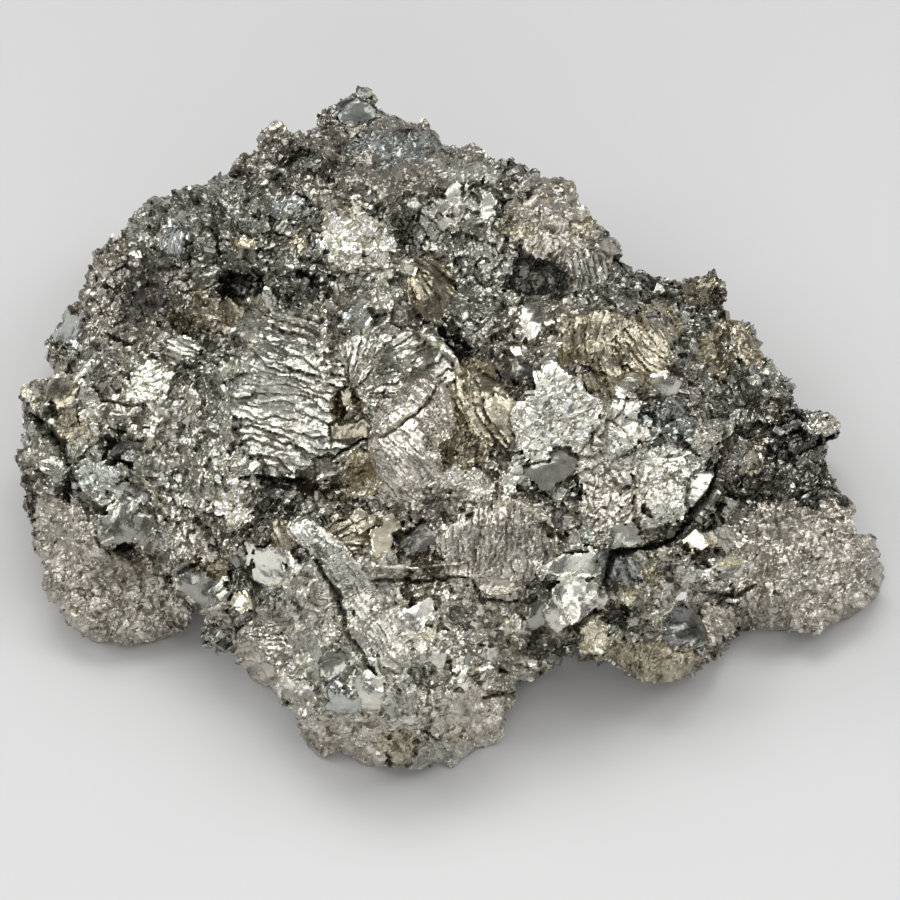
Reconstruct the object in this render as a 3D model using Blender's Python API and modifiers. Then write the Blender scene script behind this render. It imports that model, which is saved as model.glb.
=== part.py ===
"""Hafnium metal piece: one lump of hafnium crystals grown together, about 30 mm wide.

Metres, +Z up. The lump lies on a flat base at z = 0, its long way along X, and it is
centred on X and Y. The face that shows most leans back and looks towards -Y.
"""

import math
from dataclasses import dataclass
from enum import Enum

import bmesh
import bpy
import numpy as np
from mathutils import Euler, Matrix, Vector, noise

MM = 0.001
NODE_NAME = "hafnium_piece"

# The outline of the lump is drawn on a plane that leans back from the vertical.
LEAN = math.radians(52)
# Points of that outline in mm: across, and up along the leaning plane.
OUTLINE = (
    (-4.0, 12.3), (-3.8, 12.7), (-2.9, 12.7), (-2.5, 11.9), (-0.8, 12.3), (0.1, 11.7),
    (1.1, 10.8), (2.4, 9.8), (3.3, 9.5), (4.0, 8.8), (4.8, 8.6), (5.5, 8.2), (5.3, 7.5),
    (5.8, 6.5), (6.8, 6.1), (7.6, 6.3), (8.8, 6.6), (9.8, 5.5), (9.5, 4.8), (10.3, 4.6),
    (11.0, 3.9), (11.1, 3.2), (11.7, 2.9), (12.3, 1.3), (13.7, 1.1), (13.7, 0.6), (13.2, 0.2),
    (13.3, -0.9), (13.9, -1.7), (14.1, -2.8), (15.1, -4.3), (15.2, -5.2), (15.0, -6.0),
    (14.6, -6.4), (10.0, -6.3), (9.4, -7.1), (8.7, -7.6), (7.0, -8.0), (6.1, -7.6),
    (5.1, -7.1), (4.0, -6.9), (3.2, -7.6), (1.9, -8.8), (1.6, -9.8), (1.2, -10.7),
    (-0.1, -10.5), (-1.0, -10.9), (-2.3, -11.2), (-4.0, -10.4), (-5.3, -9.1), (-6.7, -8.3),
    (-7.1, -7.1), (-7.3, -6.4), (-8.6, -6.4), (-10.4, -6.8), (-12.0, -6.9), (-12.9, -6.2),
    (-13.8, -5.2), (-14.3, -3.8), (-14.8, -1.1), (-15.2, 1.1), (-15.3, 1.9), (-15.2, 3.2),
    (-14.2, 4.3), (-13.1, 5.2), (-12.8, 6.5), (-11.5, 7.7), (-11.1, 9.2), (-9.8, 9.3),
    (-8.8, 9.5), (-7.8, 10.1), (-6.9, 10.6), (-6.3, 11.3), (-5.4, 11.1), (-4.7, 11.6),
)
OUTLINE_REACH = 60.0
WELD = 0.000001

# Sizes in mm of the steps that turn the lumps into one crystalline skin.
BODY_VOXEL = 0.45
SKIN_VOXEL = 0.20
FLOOR_SLAB = 20.0
TRIANGLES_WANTED = 12400

# Past this distance from the middle, in mm, crystals stay small.
FINE_SIDE_X = 9.0

# How far crystals lean off the skin, in radians, and their width and height as shares of length.
CRYSTAL_LEAN = 0.45
CRYSTAL_WIDTH = (0.5, 1.0)
CRYSTAL_HEIGHT = (0.35, 0.8)

# A plate is a little wider at its foot than at its face.
PLATE_FOOT = 1.12
PLATE_FACE = 0.95

# Small relief of the whole skin: its height and scale in mm, and the share that is chipped.
ROUGH_HEIGHT = 0.05
ROUGH_SCALE = 0.9
CHIP_SCALE = 0.53
CHIP_MIDDLE = 0.45
CHIP_SHARE = 0.8

METAL_COLOUR = (0.47, 0.455, 0.425, 1.0)
METAL_ROUGHNESS = 0.34


@dataclass(frozen=True)
class Growth:
    """Crystals that stud a skin: how many, half sizes in mm, how deep they sit, and a seed."""

    count: int
    smallest: float
    largest: float
    sunk: float
    seed: int


BLOCKY_GROWTH = Growth(count=520, smallest=0.5, largest=1.6, sunk=0.1, seed=72)
FINE_GROWTH = Growth(count=760, smallest=0.3, largest=0.85, sunk=0.45, seed=178)


class Form(Enum):
    """The plain solid that a lump starts from."""

    BALL = "ball"
    BLOCK = "block"


@dataclass(frozen=True)
class Lump:
    """A mass of the piece: its form, centre, half sizes in mm, and turn in degrees."""

    name: str
    form: Form
    centre: tuple
    half: tuple
    turn: tuple = (0.0, 0.0, 0.0)


@dataclass(frozen=True)
class Plate:
    """A flat crystal face: centre, half sizes in mm, corners, and turn in degrees."""

    name: str
    centre: tuple
    half: tuple
    corners: int
    turn: tuple


LUMPS = (
    Lump("core", Form.BALL, (-0.8, -2.5, 3.2), (8.6, 8.0, 5.0)),
    Lump("front_shelf", Form.BLOCK, (0.0, -6.0, 4.0), (5.2, 3.6, 3.0), (28, 0, 4)),
    Lump("crown", Form.BALL, (-2.6, 5.0, 3.6), (6.6, 5.2, 4.4)),
    Lump("crown_right", Form.BALL, (2.0, 2.4, 3.6), (5.9, 4.6, 4.6), (0, 0, -35)),
    Lump("right_mass", Form.BALL, (5.4, -3.6, 3.6), (4.4, 5.6, 4.0)),
    Lump("left_shoulder", Form.BALL, (-8.6, 2.0, 2.6), (5.2, 6.4, 3.6)),
    Lump("left_front", Form.BALL, (-10.4, -2.6, 2.6), (4.6, 4.6, 3.0)),
    Lump("left_foot", Form.BALL, (-11.4, -5.2, 0.8), (3.2, 3.3, 2.1)),
    Lump("left_back", Form.BALL, (-9.6, 6.0, 2.0), (3.2, 3.6, 3.0)),
    Lump("tongue", Form.BALL, (-1.7, -9.6, 1.8), (3.8, 4.9, 3.4)),
    Lump("tongue_left", Form.BALL, (-4.4, -8.0, 2.2), (2.8, 3.6, 3.4)),
    Lump("right_slope", Form.BALL, (8.9, 0.2, 1.4), (5.6, 3.4, 2.6), (0, 0, -42)),
    Lump("right_tip", Form.BALL, (11.6, -5.4, 0.6), (3.9, 2.9, 2.0)),
    Lump("right_foot", Form.BALL, (6.4, -8.0, 0.8), (3.2, 2.7, 2.1)),
    Lump("back_tooth", Form.BLOCK, (8.4, 3.4, 3.4), (1.4, 1.2, 1.3), (20, 15, 30)),
    Lump("crown_nub", Form.BLOCK, (-3.3, 8.6, 7.6), (0.7, 0.9, 0.8), (15, 0, 20)),
    Lump("right_nub", Form.BLOCK, (13.1, -1.0, 2.2), (0.9, 0.6, 0.8), (0, 20, 10)),
)

PLATES = (
    Plate("left_fan", (-5.5, -3.9, 7.3), (2.1, 3.6, 0.7), 7, (24, -6, 0)),
    Plate("upper_fan", (-2.1, -2.6, 8.3), (1.9, 1.9, 0.6), 6, (20, 8, 20)),
    Plate("right_fan", (-0.3, -6.1, 8.0), (2.3, 2.2, 0.7), 7, (32, 8, 30)),
    Plate("bright_plate", (3.6, -5.2, 7.8), (1.7, 2.1, 0.6), 6, (36, 4, 10)),
    Plate("scaly_face", (6.4, -6.0, 6.4), (2.6, 2.9, 0.7), 8, (38, 22, 0)),
    Plate("brown_comb", (5.3, -1.6, 7.5), (2.9, 1.7, 0.7), 7, (30, 10, 0)),
    Plate("ribbed_dome", (1.7, -9.0, 6.2), (2.0, 1.7, 0.7), 8, (44, 6, 0)),
    Plate("smooth_facet", (4.2, -9.8, 4.6), (1.3, 1.6, 0.6), 5, (50, 10, 8)),
    Plate("ribbon", (-3.5, -9.6, 4.9), (0.7, 3.0, 0.6), 6, (44, 4, 30)),
    Plate("front_ledge", (-1.6, -9.4, 5.9), (1.6, 0.5, 0.5), 5, (30, 0, 8)),
    Plate("cup_flake", (-8.4, -8.0, 3.5), (1.2, 0.9, 0.5), 6, (40, -10, 20)),
    Plate("left_plate", (-7.2, -2.9, 6.7), (1.0, 1.9, 0.6), 5, (30, -18, 10)),
    Plate("left_face", (-7.6, -6.4, 5.2), (1.3, 1.6, 0.6), 6, (46, -12, 0)),
    Plate("far_left_face", (-11.7, -1.8, 5.2), (1.6, 1.5, 0.6), 6, (30, -20, 0)),
    Plate("right_face", (8.3, -6.0, 4.8), (1.1, 1.4, 0.6), 5, (42, 34, 0)),
)

PITS = (
    Lump("left_hole", Form.BALL, (-11.4, -3.8, 5.0), (0.9, 0.8, 1.1)),
    Lump("arc_pit", Form.BALL, (0.5, -2.0, 8.6), (0.9, 0.7, 0.9)),
    Lump("middle_crack", Form.BLOCK, (-4.4, -7.0, 7.3), (2.0, 0.5, 0.9), (20, 0, 14)),
    Lump("back_hollow", Form.BALL, (2.8, 1.0, 8.4), (1.4, 1.0, 1.0)),
    Lump("gold_hollow", Form.BALL, (-8.2, 2.0, 6.6), (1.7, 0.9, 0.9), (0, 0, 12)),
    Lump("fan_hollow", Form.BALL, (-3.5, -4.5, 8.4), (0.6, 0.6, 0.8)),
    Lump("left_crevice", Form.BLOCK, (-11.3, -6.6, 3.2), (3.1, 0.45, 0.8), (30, 8, -48)),
    Lump("right_crevice", Form.BLOCK, (7.4, -6.1, 3.0), (3.3, 0.6, 1.0), (40, 0, 43)),
    Lump("side_crevice_front", Form.BLOCK, (10.0, -2.4, 3.6), (0.6, 1.9, 0.8), (10, 25, -12)),
    Lump("side_crevice_back", Form.BLOCK, (9.7, 1.2, 4.0), (0.5, 2.2, 0.8), (-8, 30, 14)),
)


def clear_scene() -> None:
    """Remove every object that the open file starts with."""
    for thing in list(bpy.data.objects):
        bpy.data.objects.remove(thing, do_unlink=True)


def make_collection(name: str) -> bpy.types.Collection:
    """Make a collection of the scene.

    Args:
        name: The collection's name.

    Returns:
        The new collection.
    """
    collection = bpy.data.collections.new(name)
    bpy.context.scene.collection.children.link(collection)
    return collection


def object_from_bmesh(mesh: bmesh.types.BMesh, name: str) -> bpy.types.Object:
    """Turn a bmesh into an object that isn't in any collection yet.

    Args:
        mesh: The shape, which is freed.
        name: The object's name.

    Returns:
        The new object.
    """
    data = bpy.data.meshes.new(name)
    mesh.to_mesh(data)
    mesh.free()
    return bpy.data.objects.new(name, data)


def placing(centre: tuple, turn: tuple, half: tuple) -> Matrix:
    """Work out the matrix that sizes, turns and places a unit solid.

    Args:
        centre: The centre in mm.
        turn: Turns about X, Y and Z in degrees.
        half: Half sizes in mm.

    Returns:
        The matrix, in metres.
    """
    turned = Euler([math.radians(angle) for angle in turn]).to_matrix().to_4x4()
    sized = Matrix.Diagonal((*[size * MM for size in half], 1.0))
    return Matrix.Translation(Vector(centre) * MM) @ turned @ sized


def add_lump(mesh: bmesh.types.BMesh, lump: Lump) -> None:
    """Add a ball or a block to a bmesh."""
    matrix = placing(lump.centre, lump.turn, lump.half)
    if lump.form is Form.BALL:
        bmesh.ops.create_icosphere(mesh, subdivisions=4, radius=1.0, matrix=matrix)
    else:
        bmesh.ops.create_cube(mesh, size=2.0, matrix=matrix)


def add_plate(mesh: bmesh.types.BMesh, plate: Plate) -> None:
    """Add a flat plate with a few corners to a bmesh."""
    matrix = placing(plate.centre, plate.turn, plate.half)
    bmesh.ops.create_cone(mesh, cap_ends=True, segments=plate.corners,
                          radius1=PLATE_FOOT, radius2=PLATE_FACE, depth=2.0, matrix=matrix)


def remeshed(part: bpy.types.Object, voxel_mm: float) -> bpy.types.Object:
    """Fuse the shells of an object into one skin of even faces.

    Args:
        part: The object, which is removed.
        voxel_mm: The size of the new faces in mm.

    Returns:
        The fused object, with the same name.
    """
    modifier = part.modifiers.new("Fuse", "REMESH")
    modifier.mode = "VOXEL"
    modifier.voxel_size = voxel_mm * MM
    return with_modifiers_applied(part)


def with_modifiers_applied(part: bpy.types.Object) -> bpy.types.Object:
    """Replace an object by one whose mesh is what its modifiers make.

    Args:
        part: The object, which is removed.

    Returns:
        The new object, linked to the scene, with the same name.
    """
    scene_objects = bpy.context.scene.collection.objects
    if part.name not in scene_objects:
        scene_objects.link(part)
    graph = bpy.context.evaluated_depsgraph_get()
    mesh = bpy.data.meshes.new_from_object(part.evaluated_get(graph), depsgraph=graph)
    name = part.name
    bpy.data.objects.remove(part, do_unlink=True)
    result = bpy.data.objects.new(name, mesh)
    scene_objects.link(result)
    return result


def cut_with(part: bpy.types.Object, cutter: bpy.types.Object, operation: str) -> bpy.types.Object:
    """Cut an object with another one by an exact Boolean.

    Args:
        part: The object, which is removed.
        cutter: The other solid, which stays.
        operation: DIFFERENCE or INTERSECT.

    Returns:
        The object that is left.
    """
    modifier = part.modifiers.new("Cut", "BOOLEAN")
    modifier.operation = operation
    modifier.solver = "EXACT"
    modifier.object = cutter
    return with_modifiers_applied(part)


def make_body() -> bpy.types.Object:
    """Make the masses and fuse them into one plain body."""
    mesh = bmesh.new()
    for lump in LUMPS:
        add_lump(mesh, lump)
    return remeshed(object_from_bmesh(mesh, NODE_NAME), BODY_VOXEL)


def with_plates(body: bpy.types.Object) -> bpy.types.Object:
    """Fuse the large flat faces to a body.

    Args:
        body: The body, which is removed.

    Returns:
        The body with its plates.
    """
    mesh = bmesh.new()
    mesh.from_mesh(body.data)
    for plate in PLATES:
        add_plate(mesh, plate)
    bpy.data.objects.remove(body, do_unlink=True)
    return remeshed(object_from_bmesh(mesh, NODE_NAME), SKIN_VOXEL)


def crystal_size(growth: Growth, place: Vector, chance: float) -> float:
    """Choose a crystal's half size in mm: small ones towards both low ends.

    Args:
        growth: The crystals being grown.
        place: Where this one sits, in mm.
        chance: A number from 0 to 1.

    Returns:
        The half size in mm.
    """
    largest = growth.largest
    if abs(place.x) > FINE_SIDE_X:
        largest = (growth.smallest + growth.largest) / 2
    return growth.smallest + (largest - growth.smallest) * chance ** 2


def add_crystals(mesh: bmesh.types.BMesh, body: bpy.types.Object, growth: Growth) -> None:
    """Stud a body with blocky crystals, each sunk in it and turned its own way.

    Args:
        mesh: The bmesh that takes the crystals.
        body: The body whose faces they sit on.
        growth: How many there are, and their sizes.
    """
    rng = np.random.default_rng(growth.seed)
    faces = body.data.polygons
    areas = np.array([face.area for face in faces])
    chosen = rng.choice(len(faces), size=growth.count, p=areas / areas.sum())
    for index in chosen:
        face = faces[int(index)]
        place = face.center / MM
        size = crystal_size(growth, place, rng.random())
        lean = Euler(rng.normal(0.0, CRYSTAL_LEAN, 3))
        upright = face.normal.to_track_quat("Z", "Y").to_matrix()
        spin = Matrix.Rotation(rng.uniform(0.0, math.tau), 3, "Z")
        turned = (lean.to_matrix() @ upright @ spin).to_4x4()
        half = Vector((size, size * rng.uniform(*CRYSTAL_WIDTH), size * rng.uniform(*CRYSTAL_HEIGHT)))
        sized = Matrix.Diagonal((*(half * MM), 1.0))
        middle = place - face.normal * (growth.sunk * half.z)
        placed = Matrix.Translation(middle * MM) @ turned @ sized
        bmesh.ops.create_cube(mesh, size=2.0, matrix=placed)


def grown(body: bpy.types.Object, growth: Growth) -> bpy.types.Object:
    """Fuse crystals to a body.

    Args:
        body: The body, which is removed.
        growth: The crystals.

    Returns:
        The studded body.
    """
    mesh = bmesh.new()
    mesh.from_mesh(body.data)
    add_crystals(mesh, body, growth)
    bpy.data.objects.remove(body, do_unlink=True)
    return remeshed(object_from_bmesh(mesh, NODE_NAME), SKIN_VOXEL)


def roughen(part: bpy.types.Object) -> None:
    """Move each point of the skin in or out by a broken, angular noise."""
    mesh = part.data
    normals = [vertex.normal.copy() for vertex in mesh.vertices]
    for vertex, normal in zip(mesh.vertices, normals):
        where = vertex.co / MM
        broad = noise.fractal(where / ROUGH_SCALE, 1.0, 2.0, 3)
        chipped = noise.voronoi(where / CHIP_SCALE)[0][0] - CHIP_MIDDLE
        vertex.co += normal * ROUGH_HEIGHT * MM * (broad + CHIP_SHARE * chipped)


def make_pit_cutter() -> bpy.types.Object:
    """Make the hollows and crevices as one cutter."""
    mesh = bmesh.new()
    for pit in PITS:
        add_lump(mesh, pit)
    cutter = remeshed(object_from_bmesh(mesh, "pits"), SKIN_VOXEL)
    bpy.context.scene.collection.objects.unlink(cutter)
    return cutter


def make_outline_cutter() -> bpy.types.Object:
    """Make a long prism of the outline, square to the leaning plane."""
    curve = bpy.data.curves.new("outline", "CURVE")
    curve.dimensions = "2D"
    curve.fill_mode = "BOTH"
    curve.extrude = OUTLINE_REACH * MM / 2
    spline = curve.splines.new("POLY")
    spline.points.add(len(OUTLINE) - 1)
    for point, (across, up) in zip(spline.points, OUTLINE):
        point.co = (across * MM, up * MM, 0.0, 1.0)
    spline.use_cyclic_u = True
    flat = with_modifiers_applied(bpy.data.objects.new("outline", curve))
    mesh = bmesh.new()
    mesh.from_mesh(flat.data)
    bpy.data.objects.remove(flat, do_unlink=True)
    bmesh.ops.remove_doubles(mesh, verts=mesh.verts, dist=WELD)
    mesh.transform(Matrix.Rotation(math.radians(90) - LEAN, 4, "X"))
    return object_from_bmesh(mesh, "outline")


def make_floor_cutter() -> bpy.types.Object:
    """Make the slab that cuts the base flat."""
    mesh = bmesh.new()
    side = 3 * FLOOR_SLAB * MM
    matrix = Matrix.Translation((0.0, 0.0, -FLOOR_SLAB * MM / 2))
    matrix = matrix @ Matrix.Diagonal((side, side, FLOOR_SLAB * MM, 1.0))
    bmesh.ops.create_cube(mesh, size=1.0, matrix=matrix)
    return object_from_bmesh(mesh, "floor")


def keep_largest_piece(part: bpy.types.Object) -> None:
    """Drop the crumbs that a cut leaves loose beside the main piece."""
    mesh = bmesh.new()
    mesh.from_mesh(part.data)
    unseen = set(mesh.verts)
    pieces = []
    while unseen:
        start = unseen.pop()
        piece = {start}
        edge_of_piece = [start]
        while edge_of_piece:
            vertex = edge_of_piece.pop()
            for edge in vertex.link_edges:
                other = edge.other_vert(vertex)
                if other in unseen:
                    unseen.remove(other)
                    piece.add(other)
                    edge_of_piece.append(other)
        pieces.append(piece)
    main = max(pieces, key=len)
    crumbs = [vertex for vertex in mesh.verts if vertex not in main]
    bmesh.ops.delete(mesh, geom=crumbs, context="VERTS")
    mesh.to_mesh(part.data)
    mesh.free()


def thin_out(part: bpy.types.Object) -> bpy.types.Object:
    """Merge faces, the flat ones first, down to the number wanted.

    Args:
        part: The object, which is removed.

    Returns:
        The lighter object.
    """
    part.data.calc_loop_triangles()
    modifier = part.modifiers.new("Thin", "DECIMATE")
    modifier.ratio = TRIANGLES_WANTED / len(part.data.loop_triangles)
    modifier.use_collapse_triangulate = True
    return with_modifiers_applied(part)


def centre_on_base(part: bpy.types.Object) -> None:
    """Move the mesh so that its box is centred on X and Y, over z = 0."""
    points = np.empty(len(part.data.vertices) * 3)
    part.data.vertices.foreach_get("co", points)
    points = points.reshape(-1, 3)
    middle = (points.min(axis=0) + points.max(axis=0)) / 2
    part.data.transform(Matrix.Translation((-middle[0], -middle[1], 0.0)))


def make_metal() -> bpy.types.Material:
    """Make the bright grey metal."""
    metal = bpy.data.materials.new("hafnium")
    metal.use_nodes = True
    shader = metal.node_tree.nodes["Principled BSDF"]
    shader.inputs["Base Color"].default_value = METAL_COLOUR
    shader.inputs["Metallic"].default_value = 1.0
    shader.inputs["Roughness"].default_value = METAL_ROUGHNESS
    return metal


def main() -> None:
    """Build the piece."""
    clear_scene()
    piece_collection = make_collection("Hafnium metal piece")
    guides = make_collection("Guides")
    cutters = (make_pit_cutter(), make_outline_cutter(), make_floor_cutter())
    for cutter in cutters:
        guides.objects.link(cutter)
        cutter.display_type = "WIRE"
        cutter.hide_render = True
    pits, outline, floor = cutters

    piece = with_plates(grown(make_body(), BLOCKY_GROWTH))
    piece = cut_with(piece, outline, "INTERSECT")
    piece = cut_with(piece, pits, "DIFFERENCE")
    piece = grown(piece, FINE_GROWTH)
    roughen(piece)
    keep_largest_piece(piece)
    piece = thin_out(piece)
    piece = cut_with(piece, floor, "DIFFERENCE")
    keep_largest_piece(piece)
    centre_on_base(piece)
    piece.data.materials.clear()
    piece.data.materials.append(make_metal())
    bpy.context.scene.collection.objects.unlink(piece)
    piece_collection.objects.link(piece)
    piece.name = NODE_NAME


main()
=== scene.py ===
"""The looks of a hafnium metal piece: a lump of bright crystals, about 30 mm wide.

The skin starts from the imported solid. Each crystal that shows from the front has a row
in a table: where it lies in the photograph's 900 by 900 frame, its size in mm, the
pattern of its surface, its lie and its tone. Everything else gets a crystalline crust.
"""

import itertools
import logging
import math
from dataclasses import dataclass, field
from enum import Enum

import bpy
import numpy as np
from mathutils import Matrix, Vector


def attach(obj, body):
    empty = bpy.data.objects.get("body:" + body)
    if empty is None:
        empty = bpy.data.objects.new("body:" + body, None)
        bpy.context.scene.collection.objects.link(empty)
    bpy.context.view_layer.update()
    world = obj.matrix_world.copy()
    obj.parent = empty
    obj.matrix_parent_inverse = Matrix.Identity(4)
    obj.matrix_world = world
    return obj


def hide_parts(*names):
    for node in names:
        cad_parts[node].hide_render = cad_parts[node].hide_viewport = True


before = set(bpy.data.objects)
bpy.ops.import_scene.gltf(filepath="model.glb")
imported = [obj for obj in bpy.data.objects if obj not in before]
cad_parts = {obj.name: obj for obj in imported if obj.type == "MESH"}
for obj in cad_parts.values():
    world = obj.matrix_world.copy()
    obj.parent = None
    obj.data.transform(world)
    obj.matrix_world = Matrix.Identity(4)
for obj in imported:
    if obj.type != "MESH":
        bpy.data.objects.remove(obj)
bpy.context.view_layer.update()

log = logging.getLogger("hafnium")

MM = 0.001
NODE = "hafnium_piece"
BODY = "root"

# The photograph's frame, and how much one of its pixels covers at the piece.
PHOTO_SIDE = 900
MM_PER_PIXEL = 0.0345

Array = np.ndarray


class Pattern(Enum):
    """How the surface of a crystal is broken up."""

    SMOOTH = "smooth"
    LATHS = "laths"
    FAN = "fan"
    SCALES = "scales"
    BLOCKS = "blocks"
    GRAINS = "grains"
    COLUMNS = "columns"
    CRACKLE = "crackle"
    PIT = "pit"


class PaintedShade(Enum):
    """Painted light and shade, as a share of the clean metal's colour: the low levels paint the shade of pits,
    hollows and crevices, the high ones paint highlights.
    """

    BLACK = 0.2
    DARK = 0.36
    DIM = 0.6
    MID = 0.82
    PALE = 1.05
    BRIGHT = 1.35


class Tint(Enum):
    """The colour of the clean metal, and of the thin oxide films on it."""

    STEEL = (0.705, 0.69, 0.61)
    ROSE = (0.715, 0.675, 0.59)
    BROWN = (0.63, 0.575, 0.443)
    GOLD = (0.765, 0.70, 0.553)
    BLUE = (0.665, 0.68, 0.635)


class SeamForm(Enum):
    """What runs along a line on the skin."""

    CREVICE = "crevice"
    RIDGE = "ridge"
    STRAP = "strap"


@dataclass(frozen=True)
class Crystal:
    """One crystal, or one patch of alike small ones, as the front view shows it.

    Args:
        name: What it is.
        at: The pixel of its middle.
        half: Half its width and height in mm.
        pattern: How its surface is broken up.
        shade: Its tone: painted light and shade, darker for pits and hollows and brighter for faces that catch
            the light.
        tint: Its colour.
        turn: How far its outline is turned, in degrees, anticlockwise.
        grain: The way its laths or scales run, in degrees below the right-hand side.
        pitch: The spacing of its pattern in mm.
        lift: How far its middle stands proud, in mm.
        tilt: How fast it rises to the right and upwards, in mm per mm.
        focus: The pixel that a fan's laths run out from.
    """

    name: str
    at: tuple
    half: tuple
    pattern: Pattern
    shade: PaintedShade = PaintedShade.MID
    tint: Tint = Tint.STEEL
    turn: float = 0.0
    grain: float = 0.0
    pitch: float = 0.28
    lift: float = 0.0
    tilt: tuple = (0.0, 0.0)
    focus: tuple = (0, 0)


@dataclass(frozen=True)
class Seam:
    """A crevice, a sharp ridge or a striated strap that runs along a line of pixels. Its shade paints light into
    its colour: painted shade down a crevice, a painted highlight along a ridge.
    """

    name: str
    form: SeamForm
    line: tuple
    width: float
    height: float
    shade: PaintedShade
    tint: Tint = Tint.STEEL


P, S, T = Pattern, PaintedShade, Tint

# The fifth column of each row, its shade, is painted light and shade: BLACK, DARK and DIM paint in shade, PALE
# and BRIGHT paint in highlights.
LEFT_CRYSTALS = (
    Crystal("left_strip", (62, 528), (1.3, 3.0), P.GRAINS, S.MID, T.ROSE, pitch=0.2),
    Crystal("left_foot", (128, 575), (3.3, 2.5), P.GRAINS, S.MID, T.ROSE, pitch=0.22),
    Crystal("left_mass", (112, 440), (2.9, 3.0), P.BLOCKS, S.MID, pitch=0.62),
    Crystal("left_scales", (188, 470), (1.5, 1.7), P.SCALES, S.MID, grain=60, pitch=0.3),
    Crystal("left_matte", (62, 386), (0.5, 1.0), P.SMOOTH, S.DIM, T.BROWN),
    Crystal("left_speckled", (70, 428), (0.6, 0.65), P.GRAINS, S.DIM, T.GOLD, pitch=0.18),
    Crystal("left_flank", (90, 360), (1.1, 0.8), P.BLOCKS, S.DIM, pitch=0.4),
    Crystal("left_patch", (147, 387), (0.85, 0.7), P.SCALES, S.BRIGHT, grain=20, pitch=0.24,
            lift=0.12, tilt=(0.0, 0.25)),
    Crystal("left_facet", (127, 416), (0.75, 0.28), P.SMOOTH, S.MID, lift=0.08, tilt=(0.1, 0.2)),
    Crystal("left_dark_facet", (121, 446), (0.6, 0.3), P.SMOOTH, S.DARK, tilt=(0.1, -0.4)),
    Crystal("left_white", (90, 480), (1.15, 0.7), P.BLOCKS, S.BRIGHT, T.BLUE, pitch=0.32,
            lift=0.15, tilt=(0.0, 0.2)),
    Crystal("left_hole", (119, 462), (0.26, 0.3), P.PIT, S.BLACK, lift=-0.5),
    Crystal("blue_facet", (131, 494), (0.62, 0.34), P.SMOOTH, S.DIM, T.BLUE, lift=0.1, tilt=(-0.2, 0.2)),
    Crystal("soft_facet_low", (146, 530), (0.5, 0.75), P.SMOOTH, S.DIM, lift=0.05, tilt=(-0.35, -0.1)),
    Crystal("soft_facet", (118, 524), (0.72, 0.92), P.SMOOTH, S.DIM, turn=18, lift=0.15, tilt=(0.2, 0.2)),
    Crystal("far_low_columns", (30, 387), (0.34, 0.52), P.COLUMNS, S.BRIGHT, T.GOLD, grain=90, pitch=0.14),
    Crystal("far_crystals", (42, 352), (0.3, 0.5), P.COLUMNS, S.PALE, grain=90, pitch=0.16),
    Crystal("blue_nub", (66, 326), (0.5, 0.65), P.SMOOTH, S.MID, T.BLUE, lift=0.1),
    Crystal("foot_scales", (176, 547), (0.9, 1.1), P.SCALES, S.MID, grain=70, pitch=0.26),
    Crystal("cup_flake", (205, 588), (1.15, 0.9), P.SMOOTH, S.DIM, turn=-20, lift=0.3, tilt=(0.1, 0.1)),
    Crystal("cup_inside", (222, 563), (0.8, 0.38), P.GRAINS, S.MID, T.BROWN, pitch=0.2, lift=-0.15),
    Crystal("cup_bright", (239, 607), (0.38, 0.42), P.SMOOTH, S.BRIGHT, T.GOLD, lift=0.2, tilt=(0.1, -0.1)),
    Crystal("white_low", (233, 512), (0.5, 0.85), P.BLOCKS, S.BRIGHT, pitch=0.26, lift=0.1, tilt=(0.0, -0.1)),
    Crystal("white_side", (240, 472), (0.55, 0.7), P.BLOCKS, S.PALE, pitch=0.26, lift=0.05),
    Crystal("grey_columns", (218, 424), (0.7, 0.95), P.SCALES, S.MID, grain=80, pitch=0.24),
    Crystal("white_high", (233, 388), (0.42, 0.55), P.BLOCKS, S.BRIGHT, pitch=0.22, tilt=(0.1, -0.1)),
    Crystal("layered_flake", (181, 349), (0.7, 0.52), P.LATHS, S.MID, grain=25, pitch=0.2, lift=0.15),
    Crystal("gold_beads", (214, 313), (1.15, 0.78), P.GRAINS, S.DIM, T.GOLD, pitch=0.27, lift=-0.1),
    Crystal("lens_pit", (176, 320), (0.62, 0.42), P.PIT, S.DARK, T.BROWN, lift=-0.3),
)

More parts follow.
